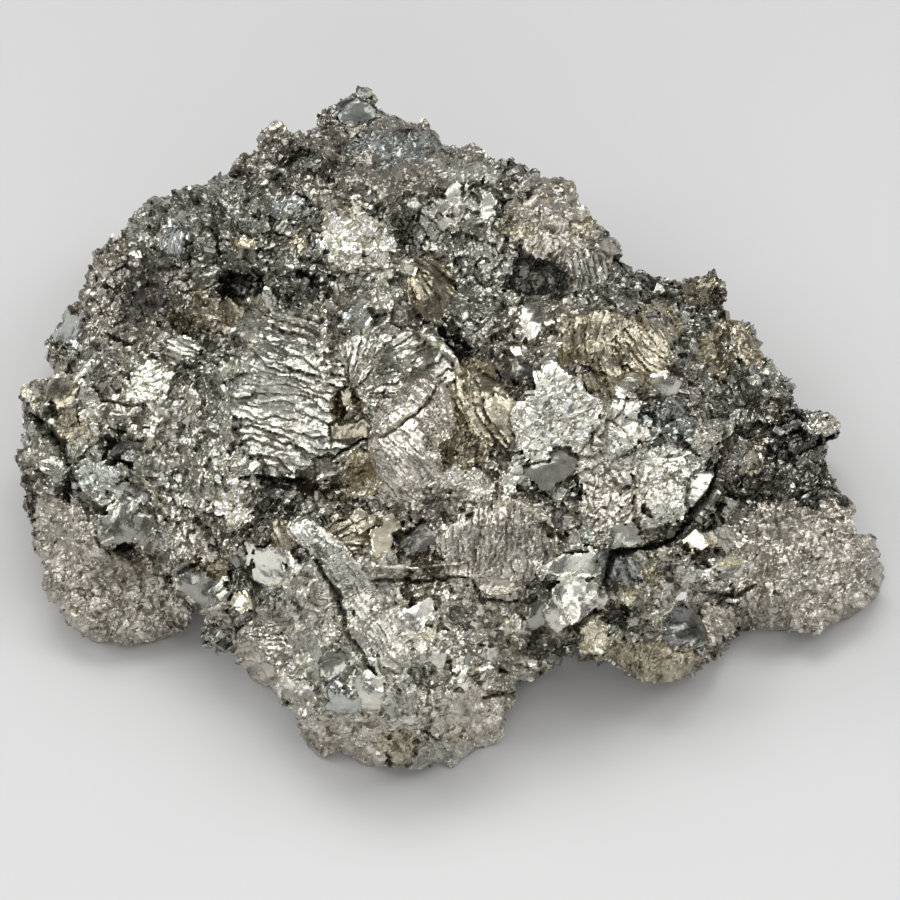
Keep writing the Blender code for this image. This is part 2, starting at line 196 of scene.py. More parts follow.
MIDDLE_CRYSTALS = (
    Crystal("left_fan", (288, 396), (1.9, 3.1), P.LATHS, S.MID, grain=14, pitch=0.28, lift=0.15,
            tilt=(-0.05, 0.05)),
    Crystal("left_fan_top", (282, 332), (1.5, 0.9), P.LATHS, S.MID, grain=20, pitch=0.26, lift=0.2),
    Crystal("fan_fronts", (321, 352), (0.3, 1.35), P.COLUMNS, S.BRIGHT, grain=-8, pitch=0.26, lift=0.2,
            tilt=(0.3, 0.1)),
    Crystal("upper_fan", (396, 374), (1.95, 1.75), P.FAN, S.MID, pitch=0.24, lift=0.1, focus=(346, 400)),
    Crystal("lilac_facets", (361, 318), (0.5, 0.65), P.SMOOTH, S.BRIGHT, T.BLUE, lift=0.25, tilt=(0.3, -0.1)),
    Crystal("white_columns", (382, 296), (0.5, 0.7), P.COLUMNS, S.BRIGHT, grain=75, pitch=0.2, lift=0.15),
    Crystal("trough", (350, 403), (0.85, 0.55), P.PIT, S.DIM, T.BROWN, lift=-0.35),
    Crystal("square_crystal", (349, 401), (0.44, 0.3), P.SMOOTH, S.BRIGHT, T.GOLD, turn=-10, lift=0.25,
            tilt=(0.0, -0.05)),
    Crystal("grey_brown", (350, 431), (0.9, 0.6), P.SMOOTH, S.DARK, T.BROWN, lift=-0.05, tilt=(0.1, -0.1)),
    Crystal("right_fan_outer", (478, 412), (1.35, 1.75), P.LATHS, S.MID, T.BROWN, turn=-25, grain=64,
            pitch=0.26, lift=0.1, tilt=(0.1, 0.0)),
    Crystal("right_fan", (414, 446), (1.45, 2.35), P.LATHS, S.PALE, T.ROSE, turn=-14, grain=44, pitch=0.16,
            lift=0.2, tilt=(-0.05, 0.1)),
    Crystal("fan_hollow", (463, 454), (0.8, 0.72), P.PIT, S.DIM, T.BROWN, lift=-0.3),
    Crystal("rough_white", (463, 483), (1.15, 0.6), P.BLOCKS, S.BRIGHT, pitch=0.22, turn=-10, lift=0.1,
            tilt=(0.0, 0.3)),
    Crystal("arc_pit", (458, 347), (0.75, 0.4), P.PIT, S.BLACK, turn=-40, lift=-0.5),
    Crystal("gold_blocks", (361, 472), (0.62, 0.65), P.BLOCKS, S.PALE, T.GOLD, pitch=0.28),
    Crystal("black_corner", (284, 486), (0.5, 0.3), P.PIT, S.DARK, lift=-0.35),
    Crystal("black_gap", (322, 492), (0.85, 0.42), P.PIT, S.DIM, T.BROWN, lift=-0.35),
)

RIGHT_CRYSTALS = (
    Crystal("fine_scales", (606, 472), (1.25, 2.9), P.SCALES, S.MID, T.ROSE, grain=70, pitch=0.2),
    Crystal("brown_comb", (598, 350), (1.5, 1.5), P.LATHS, S.MID, T.BROWN, grain=82, pitch=0.22, lift=0.1),
    Crystal("comb_side", (648, 345), (1.1, 1.5), P.LATHS, S.MID, T.BROWN, turn=-20, grain=56, pitch=0.24,
            lift=0.05),
    Crystal("small_bright", (530, 318), (0.45, 0.58), P.SMOOTH, S.MID, lift=0.15, tilt=(-0.1, 0.3)),
    Crystal("bright_bar", (552, 323), (0.38, 0.18), P.SMOOTH, S.BRIGHT, lift=0.2, tilt=(0.0, -0.1)),
    Crystal("comb_gap", (578, 370), (0.6, 0.2), P.PIT, S.BLACK, lift=-0.25),
    Crystal("dark_grey_flat", (518, 368), (0.42, 0.42), P.SMOOTH, S.DARK, tilt=(-0.2, -0.3)),
    Crystal("crackled_plate", (557, 424), (1.5, 1.85), P.CRACKLE, S.BRIGHT, turn=-18, pitch=0.5, lift=0.25,
            tilt=(0.0, 0.18)),
    Crystal("plate_foot", (514, 474), (0.6, 0.7), P.CRACKLE, S.PALE, pitch=0.3, lift=0.15, tilt=(0.1, 0.2)),
    Crystal("dark_triangle", (547, 471), (0.9, 0.62), P.SMOOTH, S.DARK, turn=20, lift=0.0, tilt=(0.0, -0.2)),
    Crystal("big_scales", (632, 444), (1.15, 1.6), P.SCALES, S.PALE, grain=62, pitch=0.5, lift=0.1),
    Crystal("blue_grey", (671, 427), (0.85, 1.0), P.BLOCKS, S.DIM, T.BLUE, pitch=0.5),
    Crystal("top_flake", (665, 380), (0.5, 0.4), P.SMOOTH, S.PALE, lift=0.1, tilt=(0.1, 0.3)),
    Crystal("inner_flake", (628, 386), (0.55, 0.35), P.SMOOTH, S.PALE, lift=0.1, tilt=(0.0, 0.3)),
    Crystal("edge_facets", (706, 440), (0.6, 0.52), P.BLOCKS, S.PALE, pitch=0.4, lift=0.1, tilt=(0.1, 0.2)),
    Crystal("scale_band", (662, 468), (1.4, 0.78), P.SCALES, S.PALE, grain=40, pitch=0.26, lift=0.12),
    Crystal("round_lump", (663, 503), (0.85, 1.02), P.GRAINS, S.PALE, pitch=0.2, lift=0.2),
    Crystal("lump_bright", (678, 514), (0.36, 0.5), P.BLOCKS, S.BRIGHT, pitch=0.2, lift=0.25, tilt=(0.2, 0.2)),
    Crystal("mass_rim", (699, 494), (0.42, 0.62), P.SMOOTH, S.DIM, lift=0.05, tilt=(0.4, 0.0)),
    Crystal("blue_crystals", (587, 536), (0.38, 0.42), P.BLOCKS, S.PALE, T.BLUE, pitch=0.2),
    Crystal("dark_lump", (624, 538), (0.42, 0.52), P.SMOOTH, S.DIM, lift=0.1),
)

RIGHT_END_CRYSTALS = (
    Crystal("tip_grains", (815, 570), (2.9, 2.6), P.GRAINS, S.MID, T.ROSE, pitch=0.2),
    Crystal("slope_grains", (735, 345), (1.2, 1.0), P.GRAINS, S.MID, T.BROWN, pitch=0.22),
    Crystal("slope_glint", (731, 350), (0.4, 0.3), P.BLOCKS, S.BRIGHT, pitch=0.2, lift=0.1),
    Crystal("soft_tooth", (703, 290), (0.85, 0.8), P.BLOCKS, S.DIM, T.BROWN, pitch=0.5),
    Crystal("dark_band", (746, 405), (1.0, 1.25), P.BLOCKS, S.DIM, pitch=0.55),
    Crystal("bright_tip", (770, 369), (0.3, 0.2), P.SMOOTH, S.BRIGHT, lift=0.1, tilt=(0.0, 0.4)),
    Crystal("near_black", (797, 436), (0.85, 0.85), P.BLOCKS, S.BLACK, pitch=0.5),
    Crystal("right_nub", (822, 426), (0.6, 0.4), P.BLOCKS, S.PALE, pitch=0.3, lift=0.1),
    Crystal("gold_spots", (754, 462), (0.5, 0.65), P.GRAINS, S.MID, T.GOLD, pitch=0.24),
    Crystal("striped_plate", (741, 511), (0.62, 0.6), P.LATHS, S.MID, grain=30, pitch=0.16, lift=0.1),
    Crystal("warm_flake", (702, 538), (0.62, 0.5), P.SMOOTH, S.BRIGHT, T.GOLD, turn=15, lift=0.15,
            tilt=(0.0, -0.1)),
    Crystal("side_flake", (729, 536), (0.5, 0.5), P.SCALES, S.PALE, grain=60, pitch=0.24, lift=0.1),
    Crystal("low_plate", (729, 570), (1.0, 0.66), P.SMOOTH, S.BRIGHT, turn=12, lift=0.2, tilt=(0.1, 0.2)),
    Crystal("low_plate_glint", (734, 563), (0.6, 0.36), P.SMOOTH, S.BRIGHT, T.GOLD, turn=12, lift=0.22,
            tilt=(0.2, 0.4)),
)

CROWN_CRYSTALS = (
    Crystal("crown_top", (420, 150), (3.4, 1.5), P.GRAINS, S.DIM, T.ROSE, pitch=0.22),
    Crystal("crown_left", (232, 235), (3.4, 2.2), P.BLOCKS, S.DIM, pitch=0.45),
    Crystal("crown_right", (560, 232), (2.2, 1.9), P.GRAINS, S.MID, T.ROSE, pitch=0.3),
    Crystal("crown_scales", (470, 240), (1.9, 1.8), P.SCALES, S.DIM, grain=75, pitch=0.3),
    Crystal("left_brow", (150, 290), (1.5, 1.2), P.SCALES, S.DARK, T.ROSE, grain=70, pitch=0.26),
    Crystal("blue_band", (398, 145), (1.75, 0.62), P.GRAINS, S.DIM, T.BLUE, pitch=0.2),
    Crystal("crown_nub", (354, 108), (0.7, 0.45), P.SMOOTH, S.DARK, T.BLUE, lift=0.1),
    Crystal("crown_dark", (332, 165), (0.85, 0.38), P.BLOCKS, S.DARK, pitch=0.3),
    Crystal("white_blocks", (360, 241), (1.45, 1.15), P.BLOCKS, S.BRIGHT, pitch=0.38, lift=0.1,
            tilt=(0.0, 0.1)),
    Crystal("gold_spots_high", (296, 245), (0.48, 0.32), P.BLOCKS, S.MID, T.GOLD, pitch=0.2),
    Crystal("gold_spots_left", (242, 243), (0.36, 0.28), P.BLOCKS, S.PALE, T.GOLD, pitch=0.2),
    Crystal("blue_columns", (173, 237), (0.55, 0.75), P.COLUMNS, S.MID, T.BLUE, grain=88, pitch=0.22,
            lift=0.1),
    Crystal("brow_glint", (140, 256), (0.2, 0.3), P.SMOOTH, S.MID, lift=0.1),
    Crystal("lilac_top", (293, 212), (0.8, 0.42), P.BLOCKS, S.MID, T.BLUE, pitch=0.3),
    Crystal("black_hollow", (240, 286), (0.85, 0.58), P.PIT, S.BLACK, lift=-0.45),
    Crystal("black_nick", (303, 290), (0.58, 0.28), P.PIT, S.DARK, lift=-0.35),
    Crystal("small_flake", (265, 300), (0.38, 0.3), P.SMOOTH, S.PALE, lift=0.1, tilt=(0.0, 0.3)),
    Crystal("light_beads", (470, 168), (1.15, 0.6), P.GRAINS, S.MID, pitch=0.26),
    Crystal("white_flake", (457, 198), (0.38, 0.5), P.SMOOTH, S.PALE, lift=0.1, tilt=(0.0, 0.25)),
    Crystal("white_flake_low", (447, 221), (0.26, 0.26), P.SMOOTH, S.PALE, lift=0.1),
    Crystal("white_flake_right", (489, 209), (0.28, 0.42), P.SMOOTH, S.MID, lift=0.1),
    Crystal("white_flake_left", (409, 210), (0.28, 0.45), P.SMOOTH, S.DIM, lift=0.1),
    Crystal("beige_grains", (518, 229), (0.65, 0.32), P.GRAINS, S.DIM, T.GOLD, pitch=0.22, lift=0.1),
    Crystal("beige_grains_right", (583, 228), (0.5, 0.26), P.GRAINS, S.DIM, T.GOLD, pitch=0.22),
    Crystal("back_hollow", (536, 280), (1.25, 0.72), P.PIT, S.DARK, lift=-0.45),
    Crystal("hollow_glint", (489, 262), (0.36, 0.24), P.SMOOTH, S.MID, lift=0.1, tilt=(0.0, 0.3)),
    Crystal("brown_streaks", (428, 292), (0.95, 1.25), P.FAN, S.DIM, T.BROWN, pitch=0.2, focus=(405, 250)),
    Crystal("streak_facet", (411, 268), (0.42, 0.26), P.SMOOTH, S.BRIGHT, lift=0.15),
    Crystal("grey_scales", (480, 308), (0.95, 0.8), P.SCALES, S.DIM, grain=50, pitch=0.26),
    Crystal("mottled", (585, 268), (0.62, 0.78), P.COLUMNS, S.MID, grain=86, pitch=0.22),
)

FRONT_CRYSTALS = (
    Crystal("front_mass", (468, 655), (2.9, 2.3), P.BLOCKS, S.PALE, pitch=0.5),
    Crystal("tongue_mass", (340, 660), (2.7, 3.7), P.GRAINS, S.MID, pitch=0.28),
    Crystal("striped_block", (262, 659), (0.95, 1.5), P.LATHS, S.MID, T.ROSE, grain=4, pitch=0.17, lift=0.1),
    Crystal("gold_streaks", (283, 541), (0.6, 0.8), P.LATHS, S.DIM, T.GOLD, grain=64, pitch=0.2),
    Crystal("bright_wedge", (273, 567), (0.7, 0.6), P.SMOOTH, S.BRIGHT, lift=0.15, tilt=(0.0, 0.35)),
    Crystal("gold_fan", (356, 527), (1.05, 0.82), P.FAN, S.DIM, T.GOLD, pitch=0.2, focus=(322, 534)),
    Crystal("beige_plate", (386, 536), (0.62, 0.82), P.SMOOTH, S.MID, T.GOLD, turn=-18, lift=0.2,
            tilt=(-0.1, 0.25)),
    Crystal("dark_wedge", (422, 539), (0.8, 0.6), P.SMOOTH, S.BLACK, lift=0.05, tilt=(0.2, -0.3)),
    Crystal("ribbed_dome", (497, 552), (1.95, 1.85), P.LATHS, S.MID, T.ROSE, grain=94, pitch=0.16, lift=0.2,
            tilt=(0.0, -0.05)),
    Crystal("ledge_face", (502, 588), (0.8, 0.3), P.SMOOTH, S.MID, T.ROSE, lift=0.2),
    Crystal("smooth_upper", (572, 564), (1.0, 0.42), P.SMOOTH, S.BRIGHT, lift=0.3, tilt=(0.0, 0.1)),
    Crystal("smooth_side", (541, 612), (0.55, 0.85), P.SMOOTH, S.DIM, turn=-15, lift=0.15, tilt=(-0.3, 0.0)),
    Crystal("smooth_facet", (572, 601), (1.1, 0.98), P.SMOOTH, S.PALE, turn=10, lift=0.3, tilt=(0.1, -0.05)),
    Crystal("blue_ridges", (618, 570), (0.66, 0.62), P.LATHS, S.DIM, T.BLUE, grain=60, pitch=0.2),
    Crystal("folded_flakes", (597, 636), (0.48, 0.66), P.SCALES, S.BRIGHT, T.GOLD, grain=50, pitch=0.22,
            lift=0.1),
    Crystal("front_dark", (462, 614), (0.5, 0.4), P.PIT, S.DIM, lift=-0.2),
    Crystal("front_flake_a", (416, 623), (0.62, 0.6), P.SMOOTH, S.BRIGHT, lift=0.15, tilt=(0.1, 0.3)),
    Crystal("front_flake_b", (482, 655), (0.26, 0.85), P.SMOOTH, S.BRIGHT, turn=-8, lift=0.2, tilt=(0.3, 0.1)),
    Crystal("front_flake_c", (442, 654), (0.36, 0.42), P.SMOOTH, S.PALE, lift=0.15, tilt=(0.0, 0.3)),
    Crystal("front_flake_d", (513, 660), (0.42, 0.36), P.SMOOTH, S.BRIGHT, lift=0.1, tilt=(0.0, -0.1)),
    Crystal("front_flake_e", (533, 660), (0.36, 0.45), P.SMOOTH, S.PALE, lift=0.15, tilt=(0.2, -0.1)),
    Crystal("front_flake_f", (461, 680), (0.24, 0.36), P.SMOOTH, S.BRIGHT, lift=0.1),
    Crystal("front_gap", (422, 673), (0.36, 0.55), P.PIT, S.DIM, lift=-0.2),
    Crystal("layered_ledge", (508, 684), (1.1, 0.36), P.LATHS, S.BRIGHT, T.ROSE, grain=4, pitch=0.16, lift=0.2),
    Crystal("front_grains", (470, 722), (1.4, 1.35), P.GRAINS, S.PALE, T.ROSE, pitch=0.24),
    Crystal("base_lip", (445, 752), (1.7, 0.55), P.GRAINS, S.MID, pitch=0.22, lift=0.1),
    Crystal("dark_face", (337, 667), (0.45, 0.85), P.SMOOTH, S.DARK, turn=-10, tilt=(-0.3, -0.1)),
    Crystal("chrome_lump", (369, 689), (0.6, 0.92), P.SMOOTH, S.PALE, turn=-8, lift=0.2, tilt=(0.2, 0.2)),
    Crystal("pale_facet", (343, 705), (0.6, 0.5), P.SMOOTH, S.MID, T.BLUE, lift=0.15, tilt=(-0.2, 0.2)),
    Crystal("tongue_grains", (340, 742), (1.7, 1.15), P.GRAINS, S.MID, T.ROSE, pitch=0.22),
    Crystal("gold_lip", (402, 744), (0.82, 0.5), P.GRAINS, S.DIM, T.GOLD, pitch=0.22),
    Crystal("tongue_glint", (300, 588), (0.32, 0.2), P.SMOOTH, S.BRIGHT, lift=0.1),
    Crystal("tongue_bright", (337, 622), (0.55, 0.6), P.BLOCKS, S.PALE, pitch=0.24, lift=0.1),
)

LOWER_RIGHT_CRYSTALS = (
    Crystal("right_foot", (660, 606), (2.6, 2.0), P.BLOCKS, S.MID, pitch=0.42),
    Crystal("foot_grains", (648, 662), (1.8, 0.8), P.GRAINS, S.MID, T.BROWN, pitch=0.2),
    Crystal("foot_flakes", (624, 597), (0.42, 0.3), P.SCALES, S.BRIGHT, T.GOLD, pitch=0.2, lift=0.1),
    Crystal("foot_dark", (615, 617), (0.42, 0.42), P.PIT, S.DARK, lift=-0.2),
    Crystal("gold_edge", (648, 569), (0.45, 0.36), P.BLOCKS, S.MID, T.GOLD, pitch=0.22),
    Crystal("gold_edge_right", (669, 560), (0.28, 0.2), P.SMOOTH, S.DIM, T.GOLD, lift=0.1),
    Crystal("foot_speckles", (715, 624), (0.62, 0.7), P.GRAINS, S.PALE, T.ROSE, pitch=0.18),
    Crystal("dark_ball", (682, 628), (0.8, 0.68), P.SMOOTH, S.DARK, T.BLUE, lift=0.15, tilt=(0.1, -0.1)),
)

CRYSTALS = (RIGHT_END_CRYSTALS + CROWN_CRYSTALS + LOWER_RIGHT_CRYSTALS + LEFT_CRYSTALS
            + MIDDLE_CRYSTALS + RIGHT_CRYSTALS + FRONT_CRYSTALS)

F = SeamForm

# Each seam's shade is painted light: BLACK paints the shade in the crevices, BRIGHT and PALE paint highlights
# along the ridges.
SEAMS = (
    Seam("left_slash", F.CREVICE, ((104, 332), (133, 348)), 0.16, 0.3, S.BLACK),
    Seam("left_cut", F.CREVICE, ((102, 401), (148, 408)), 0.14, 0.3, S.BLACK),
    Seam("left_cut_low", F.CREVICE, ((108, 428), (148, 430)), 0.12, 0.25, S.BLACK),
    Seam("left_crevice", F.CREVICE, ((28, 414), (59, 441), (75, 490), (90, 507), (106, 514)), 0.3, 0.5,
         S.BLACK),
    Seam("scale_cut", F.CREVICE, ((166, 578), (200, 562)), 0.14, 0.25, S.BLACK),
    Seam("crown_cleft", F.CREVICE, ((211, 203), (220, 259)), 0.16, 0.3, S.BLACK),
    Seam("fan_border", F.CREVICE, ((330, 460), (362, 440), (387, 437), (418, 414), (447, 377)), 0.1, 0.2,
         S.BLACK),
    Seam("fan_foot", F.CREVICE, ((240, 478), (270, 478), (300, 482), (345, 500)), 0.16, 0.3, S.BLACK),
    Seam("mass_crevice", F.CREVICE, ((722, 432), (715, 481), (700, 508), (675, 537), (644, 548), (613, 554),
                                     (604, 604), (573, 627), (556, 633)), 0.22, 0.5, S.BLACK),
    Seam("slope_line", F.CREVICE, ((724, 496), (770, 496), (813, 490)), 0.14, 0.3, S.BLACK),
    Seam("plate_line", F.CREVICE, ((700, 592), (735, 596), (758, 586)), 0.12, 0.25, S.BLACK),
    Seam("ledge_line", F.CREVICE, ((369, 580), (420, 580), (467, 577)), 0.12, 0.25, S.BLACK),
    Seam("dome_line", F.CREVICE, ((470, 578), (482, 598), (524, 602)), 0.1, 0.2, S.BLACK),
    Seam("tongue_cut", F.CREVICE, ((424, 730), (438, 742), (453, 726)), 0.12, 0.25, S.BLACK),
    Seam("ledge_undercut", F.CREVICE, ((484, 698), (503, 694), (522, 690)), 0.14, 0.3, S.BLACK),
    Seam("strap_shadow", F.CREVICE, ((316, 560), (338, 596), (350, 638), (378, 676)), 0.16, 0.35, S.BLACK),
    Seam("strap", F.STRAP, ((300, 528), (330, 549), (356, 582), (372, 616), (392, 654)), 0.5, 0.22, S.MID),
    Seam("strap_end", F.RIDGE, ((386, 650), (402, 664)), 0.3, 0.2, S.BRIGHT),
    Seam("left_ridge", F.RIDGE, ((102, 354), (88, 368), (75, 385)), 0.14, 0.2, S.BRIGHT),
    Seam("left_ledge", F.RIDGE, ((115, 434), (140, 438), (157, 449)), 0.12, 0.16, S.BRIGHT),
    Seam("white_ridge", F.RIDGE, ((139, 477), (156, 492), (170, 505)), 0.12, 0.2, S.BRIGHT),
    Seam("cup_rim", F.RIDGE, ((178, 572), (186, 598), (206, 612), (232, 604), (240, 584)), 0.1, 0.16,
         S.PALE),
    Seam("crescent", F.RIDGE, ((414, 333), (436, 342), (450, 355), (460, 374)), 0.24, 0.32, S.BRIGHT),
    Seam("fan_ledge", F.RIDGE, ((327, 466), (352, 450), (374, 438)), 0.14, 0.2, S.PALE),
    Seam("fan_ledge_low", F.RIDGE, ((312, 480), (336, 472), (352, 462)), 0.1, 0.14, S.PALE),
    Seam("curved_edge", F.RIDGE, ((498, 496), (532, 512), (566, 540)), 0.16, 0.22, S.PALE, T.ROSE),
    Seam("front_ledge", F.RIDGE, ((369, 566), (410, 568), (442, 564), (467, 562)), 0.13, 0.22, S.BRIGHT),
    Seam("dome_ledge", F.RIDGE, ((480, 590), (502, 592), (524, 584)), 0.12, 0.2, S.PALE, T.ROSE),
    Seam("facet_edge", F.RIDGE, ((542, 573), (572, 575), (600, 577)), 0.07, 0.1, S.BRIGHT),
    Seam("facet_diagonal", F.RIDGE, ((538, 578), (556, 602), (573, 624)), 0.08, 0.1, S.BRIGHT),
    Seam("foot_streak", F.RIDGE, ((687, 584), (672, 604), (656, 622)), 0.13, 0.2, S.BRIGHT),
)


def hashed(keys: list, seed: int) -> Array:
    """Turn whole numbers into even random numbers.

    Args:
        keys: Arrays of whole numbers, all of one length.
        seed: Which random numbers.

    Returns:
        One number from 0 to 1 for each place in the arrays.
    """
    value = np.full(len(keys[0]), (seed * 2654435761 + 97) & 0xFFFFFFFF, np.uint32)
    for key in keys:
        value = (value ^ (key.astype(np.int64) & 0xFFFFFFFF).astype(np.uint32)) * np.uint32(2246822519)
        value ^= value >> np.uint32(15)
        value *= np.uint32(3266489917)
        value ^= value >> np.uint32(13)
    return value / 4294967296.0


def soft_noise(places: Array, seed: int) -> Array:
    """Smooth noise.

    Args:
        places: Points, one row each, in units of the noise's own scale.
        seed: Which noise.

    Returns:
        Values from -1 to 1.
    """
    base = np.floor(places).astype(np.int64)
    part = places - base
    part = part * part * (3 - 2 * part)
    total = np.zeros(len(places))
    for corner in itertools.product((0, 1), repeat=places.shape[1]):
        weight = np.ones(len(places))
        for axis, step in enumerate(corner):
            weight *= part[:, axis] if step else 1 - part[:, axis]
        total += weight * hashed([base[:, axis] + step for axis, step in enumerate(corner)], seed)
    return 2 * total - 1


def layered_noise(places: Array, seed: int, layers: int = 3) -> Array:
    """Sum of smooth noises, each at twice the detail and half the height of the last."""
    total = np.zeros(len(places))
    for layer in range(layers):
        total += soft_noise(places * 2 ** layer, seed + layer) / 2 ** layer
    return total


@dataclass
class Cells:
    """Which cell of a broken-up surface each point lies in."""

    near: Array
    gap: Array
    offset: Array
    key: list

    def chance(self, seed: int) -> Array:
        """Give one random number from 0 to 1 for each point's cell."""
        return hashed(self.key, seed)

    def lean(self, seed: int) -> Array:
        """Give how far each point stands off its cell's middle plane, which leans its own way."""
        slopes = [2 * self.chance(seed + axis) - 1 for axis in range(self.offset.shape[1])]
        return (np.stack(slopes, axis=1) * self.offset).sum(axis=1)


def broken_up(places: Array, seed: int) -> Cells:
    """Sort points into the cells around randomly spread centres, one in each unit cube.

    Args:
        places: Points, one row each, in units of the cells' size.
        seed: Which cells.

    Returns:
        The cells.
    """
    size = places.shape[1]
    base = np.floor(places).astype(np.int64)
    nearest = np.full(len(places), np.inf)
    second = np.full(len(places), np.inf)
    offset = np.zeros(places.shape)
    key = np.zeros(places.shape, np.int64)
    for step in itertools.product((-1, 0, 1), repeat=size):
        cell = base + np.array(step)
        corners = [cell[:, axis] for axis in range(size)]
        centre = np.stack([hashed(corners, seed + axis) for axis in range(size)], axis=1)
        away = places - cell - centre
        distance = (away ** 2).sum(axis=1)
        closer = distance < nearest
        second = np.where(closer, nearest, np.minimum(second, distance))
        nearest = np.where(closer, distance, nearest)
        offset[closer] = away[closer]
        key[closer] = cell[closer]
    near = np.sqrt(nearest)
    return Cells(near, np.sqrt(second) - near, offset, [key[:, axis] for axis in range(size)])


def eased(value: Array, low: float, high: float) -> Array:
    """Rise smoothly from 0 at the low value to 1 at the high one."""
    part = np.clip((value - low) / (high - low), 0, 1)
    return part * part * (3 - 2 * part)


@dataclass
class Relief:
    """How far points stand off a face, in mm, and their tone as a share of the face's, which holds random
    variety, painted shade in grooves, cracks and borders, and painted glints.
    """

    height: Array
    tone: Array


def smooth_relief(along: Array, across: Array, pitch: float, seed: int) -> Relief:
    """Make an almost plain face with a few very low steps and fine pitting."""
    places = np.stack((along, across), axis=1)
    steps = np.floor(1.2 * soft_noise(places / 1.1, seed) + across * 0.8) * 0.02
    pits = 0.012 * layered_noise(places / 0.2, seed + 3)
    tone = 1 + 0.08 * layered_noise(places / 0.3, seed + 5) + 0.05 * soft_noise(places / 0.09, seed + 8)
    return Relief(steps + pits, tone)


def lath_relief(along: Array, across: Array, pitch: float, seed: int) -> Relief:
    """Make growth steps: long wavy treads that overlap, run together and break off, with painted shade along each
    step and a painted highlight near each tread's rim.
    """
    bent = across / pitch
    bent += 1.5 * soft_noise(np.stack((along / (8 * pitch), across / (4 * pitch)), axis=1), seed)
    bent += 0.62 * soft_noise(np.stack((along / (2.6 * pitch), across / (1.6 * pitch)), axis=1), seed + 1)
    bent += 0.22 * soft_noise(np.stack((along / (0.8 * pitch), across / (0.7 * pitch)), axis=1), seed + 2)
    index = np.floor(bent)
    part = bent - index
    own = 0.5 + 0.5 * soft_noise(np.stack((along / (3.5 * pitch), 7.31 * index), axis=1), seed + 3)
    strong = eased(soft_noise(np.stack((along / (5 * pitch), 3.7 * index + 0.5), axis=1), seed + 9), -0.7, 0.4)
    # Painted shade along each step's edge, and a painted highlight a little past it.
    line = (np.exp(-((1 - part) / 0.17) ** 2) + np.exp(-(part / 0.07) ** 2)) * (0.35 + 0.65 * strong)
    painted_rim_highlight = np.exp(-((part - 0.25) / 0.16) ** 2)
    fine = layered_noise(np.stack((along / (0.9 * pitch), across / (0.4 * pitch)), axis=1), seed + 4, 2)
    height = pitch * (0.6 * (own - 0.5) - (0.24 + 0.24 * strong) * part + 0.1 * fine)
    tone = (0.7 + 0.5 * own) * (1 - 0.6 * line) * (1 + 0.2 * painted_rim_highlight) * (1 + 0.1 * fine)
    return Relief(height, tone)


def column_relief(along: Array, across: Array, pitch: float, seed: int) -> Relief:
    """Make square-topped columns side by side, broken off at their own heights, with painted shade in the grooves
    between them.
    """
    wavy = across + 0.5 * pitch * soft_noise(np.stack((along, across), axis=1) / (2.4 * pitch), seed)
    index = np.floor(wavy / pitch)
    part = wavy / pitch - index
    chance = hashed([index], seed + 1)
    piece = np.floor((along + 30 * pitch * chance) / (pitch * (2 + 3 * chance)))
    own = hashed([index, piece], seed + 2)
    groove_and_painted_shade = np.exp(-(np.minimum(part, 1 - part) / 0.14) ** 2)
    height = pitch * (0.7 * own - 0.35 * groove_and_painted_shade + 0.5 * (own - 0.5) * (part - 0.5))
    return Relief(height, (0.75 + 0.4 * own) * (1 - 0.4 * groove_and_painted_shade))


def scale_relief(along: Array, across: Array, pitch: float, seed: int) -> Relief:
    """Make small scales that overlap, each raised at the end it points to, with painted shade along their
    borders.
    """
    shift = 0.35 * pitch * np.stack([soft_noise(np.stack((along, across), axis=1) / pitch, seed + axis)
                                     for axis in (21, 22)], axis=1)
    places = np.stack((along, across), axis=1) + shift
    cells = broken_up(places / (np.array((1.9, 1.0)) * pitch), seed)
    own = cells.chance(seed + 7)
    # The scales' borders are sunk a little and darkened: painted shade along them.
    edge = np.exp(-(cells.gap / 0.1) ** 2)
    height = pitch * (0.42 * cells.offset[:, 0] + 0.25 * (own - 0.5) + 0.35 * cells.lean(seed + 8))
    fine = broken_up(places / (np.array((0.8, 0.45)) * pitch), seed + 11)
    height += 0.2 * pitch * fine.lean(seed + 12)
    tone = (0.82 + 0.26 * own) * (1 - 0.35 * edge) * (0.9 + 0.2 * fine.chance(seed + 13))
    return Relief(height - 0.1 * pitch * edge, tone)


def block_relief(along: Array, across: Array, pitch: float, seed: int) -> Relief:
    """Make angular crystals of three sizes, each with a flat face that leans its own way, with painted shade
    along the borders of the large ones.
    """
    places = np.stack((along, across), axis=1)
    places = places + 0.12 * pitch * np.stack([soft_noise(places / (0.6 * pitch), seed + axis)
                                               for axis in (31, 32)], axis=1)
    large = broken_up(places / pitch, seed)
    small = broken_up(places / (0.42 * pitch), seed + 5)
    own = large.chance(seed + 9)
    height = pitch * (0.6 * large.lean(seed + 10) + 0.3 * (own - 0.5))
    height += 0.42 * pitch * (0.55 * small.lean(seed + 13) + 0.3 * (small.chance(seed + 14) - 0.5))
    height += 0.05 * pitch * layered_noise(places / (0.3 * pitch), seed + 17, 2)
    # Painted shade along the large crystals' borders.
    edge = np.exp(-(large.gap / 0.07) ** 2)
    tone = (0.74 + 0.46 * own) * (0.86 + 0.28 * small.chance(seed + 15)) * (1 - 0.35 * edge)
    return Relief(height - 0.06 * pitch * edge, tone)


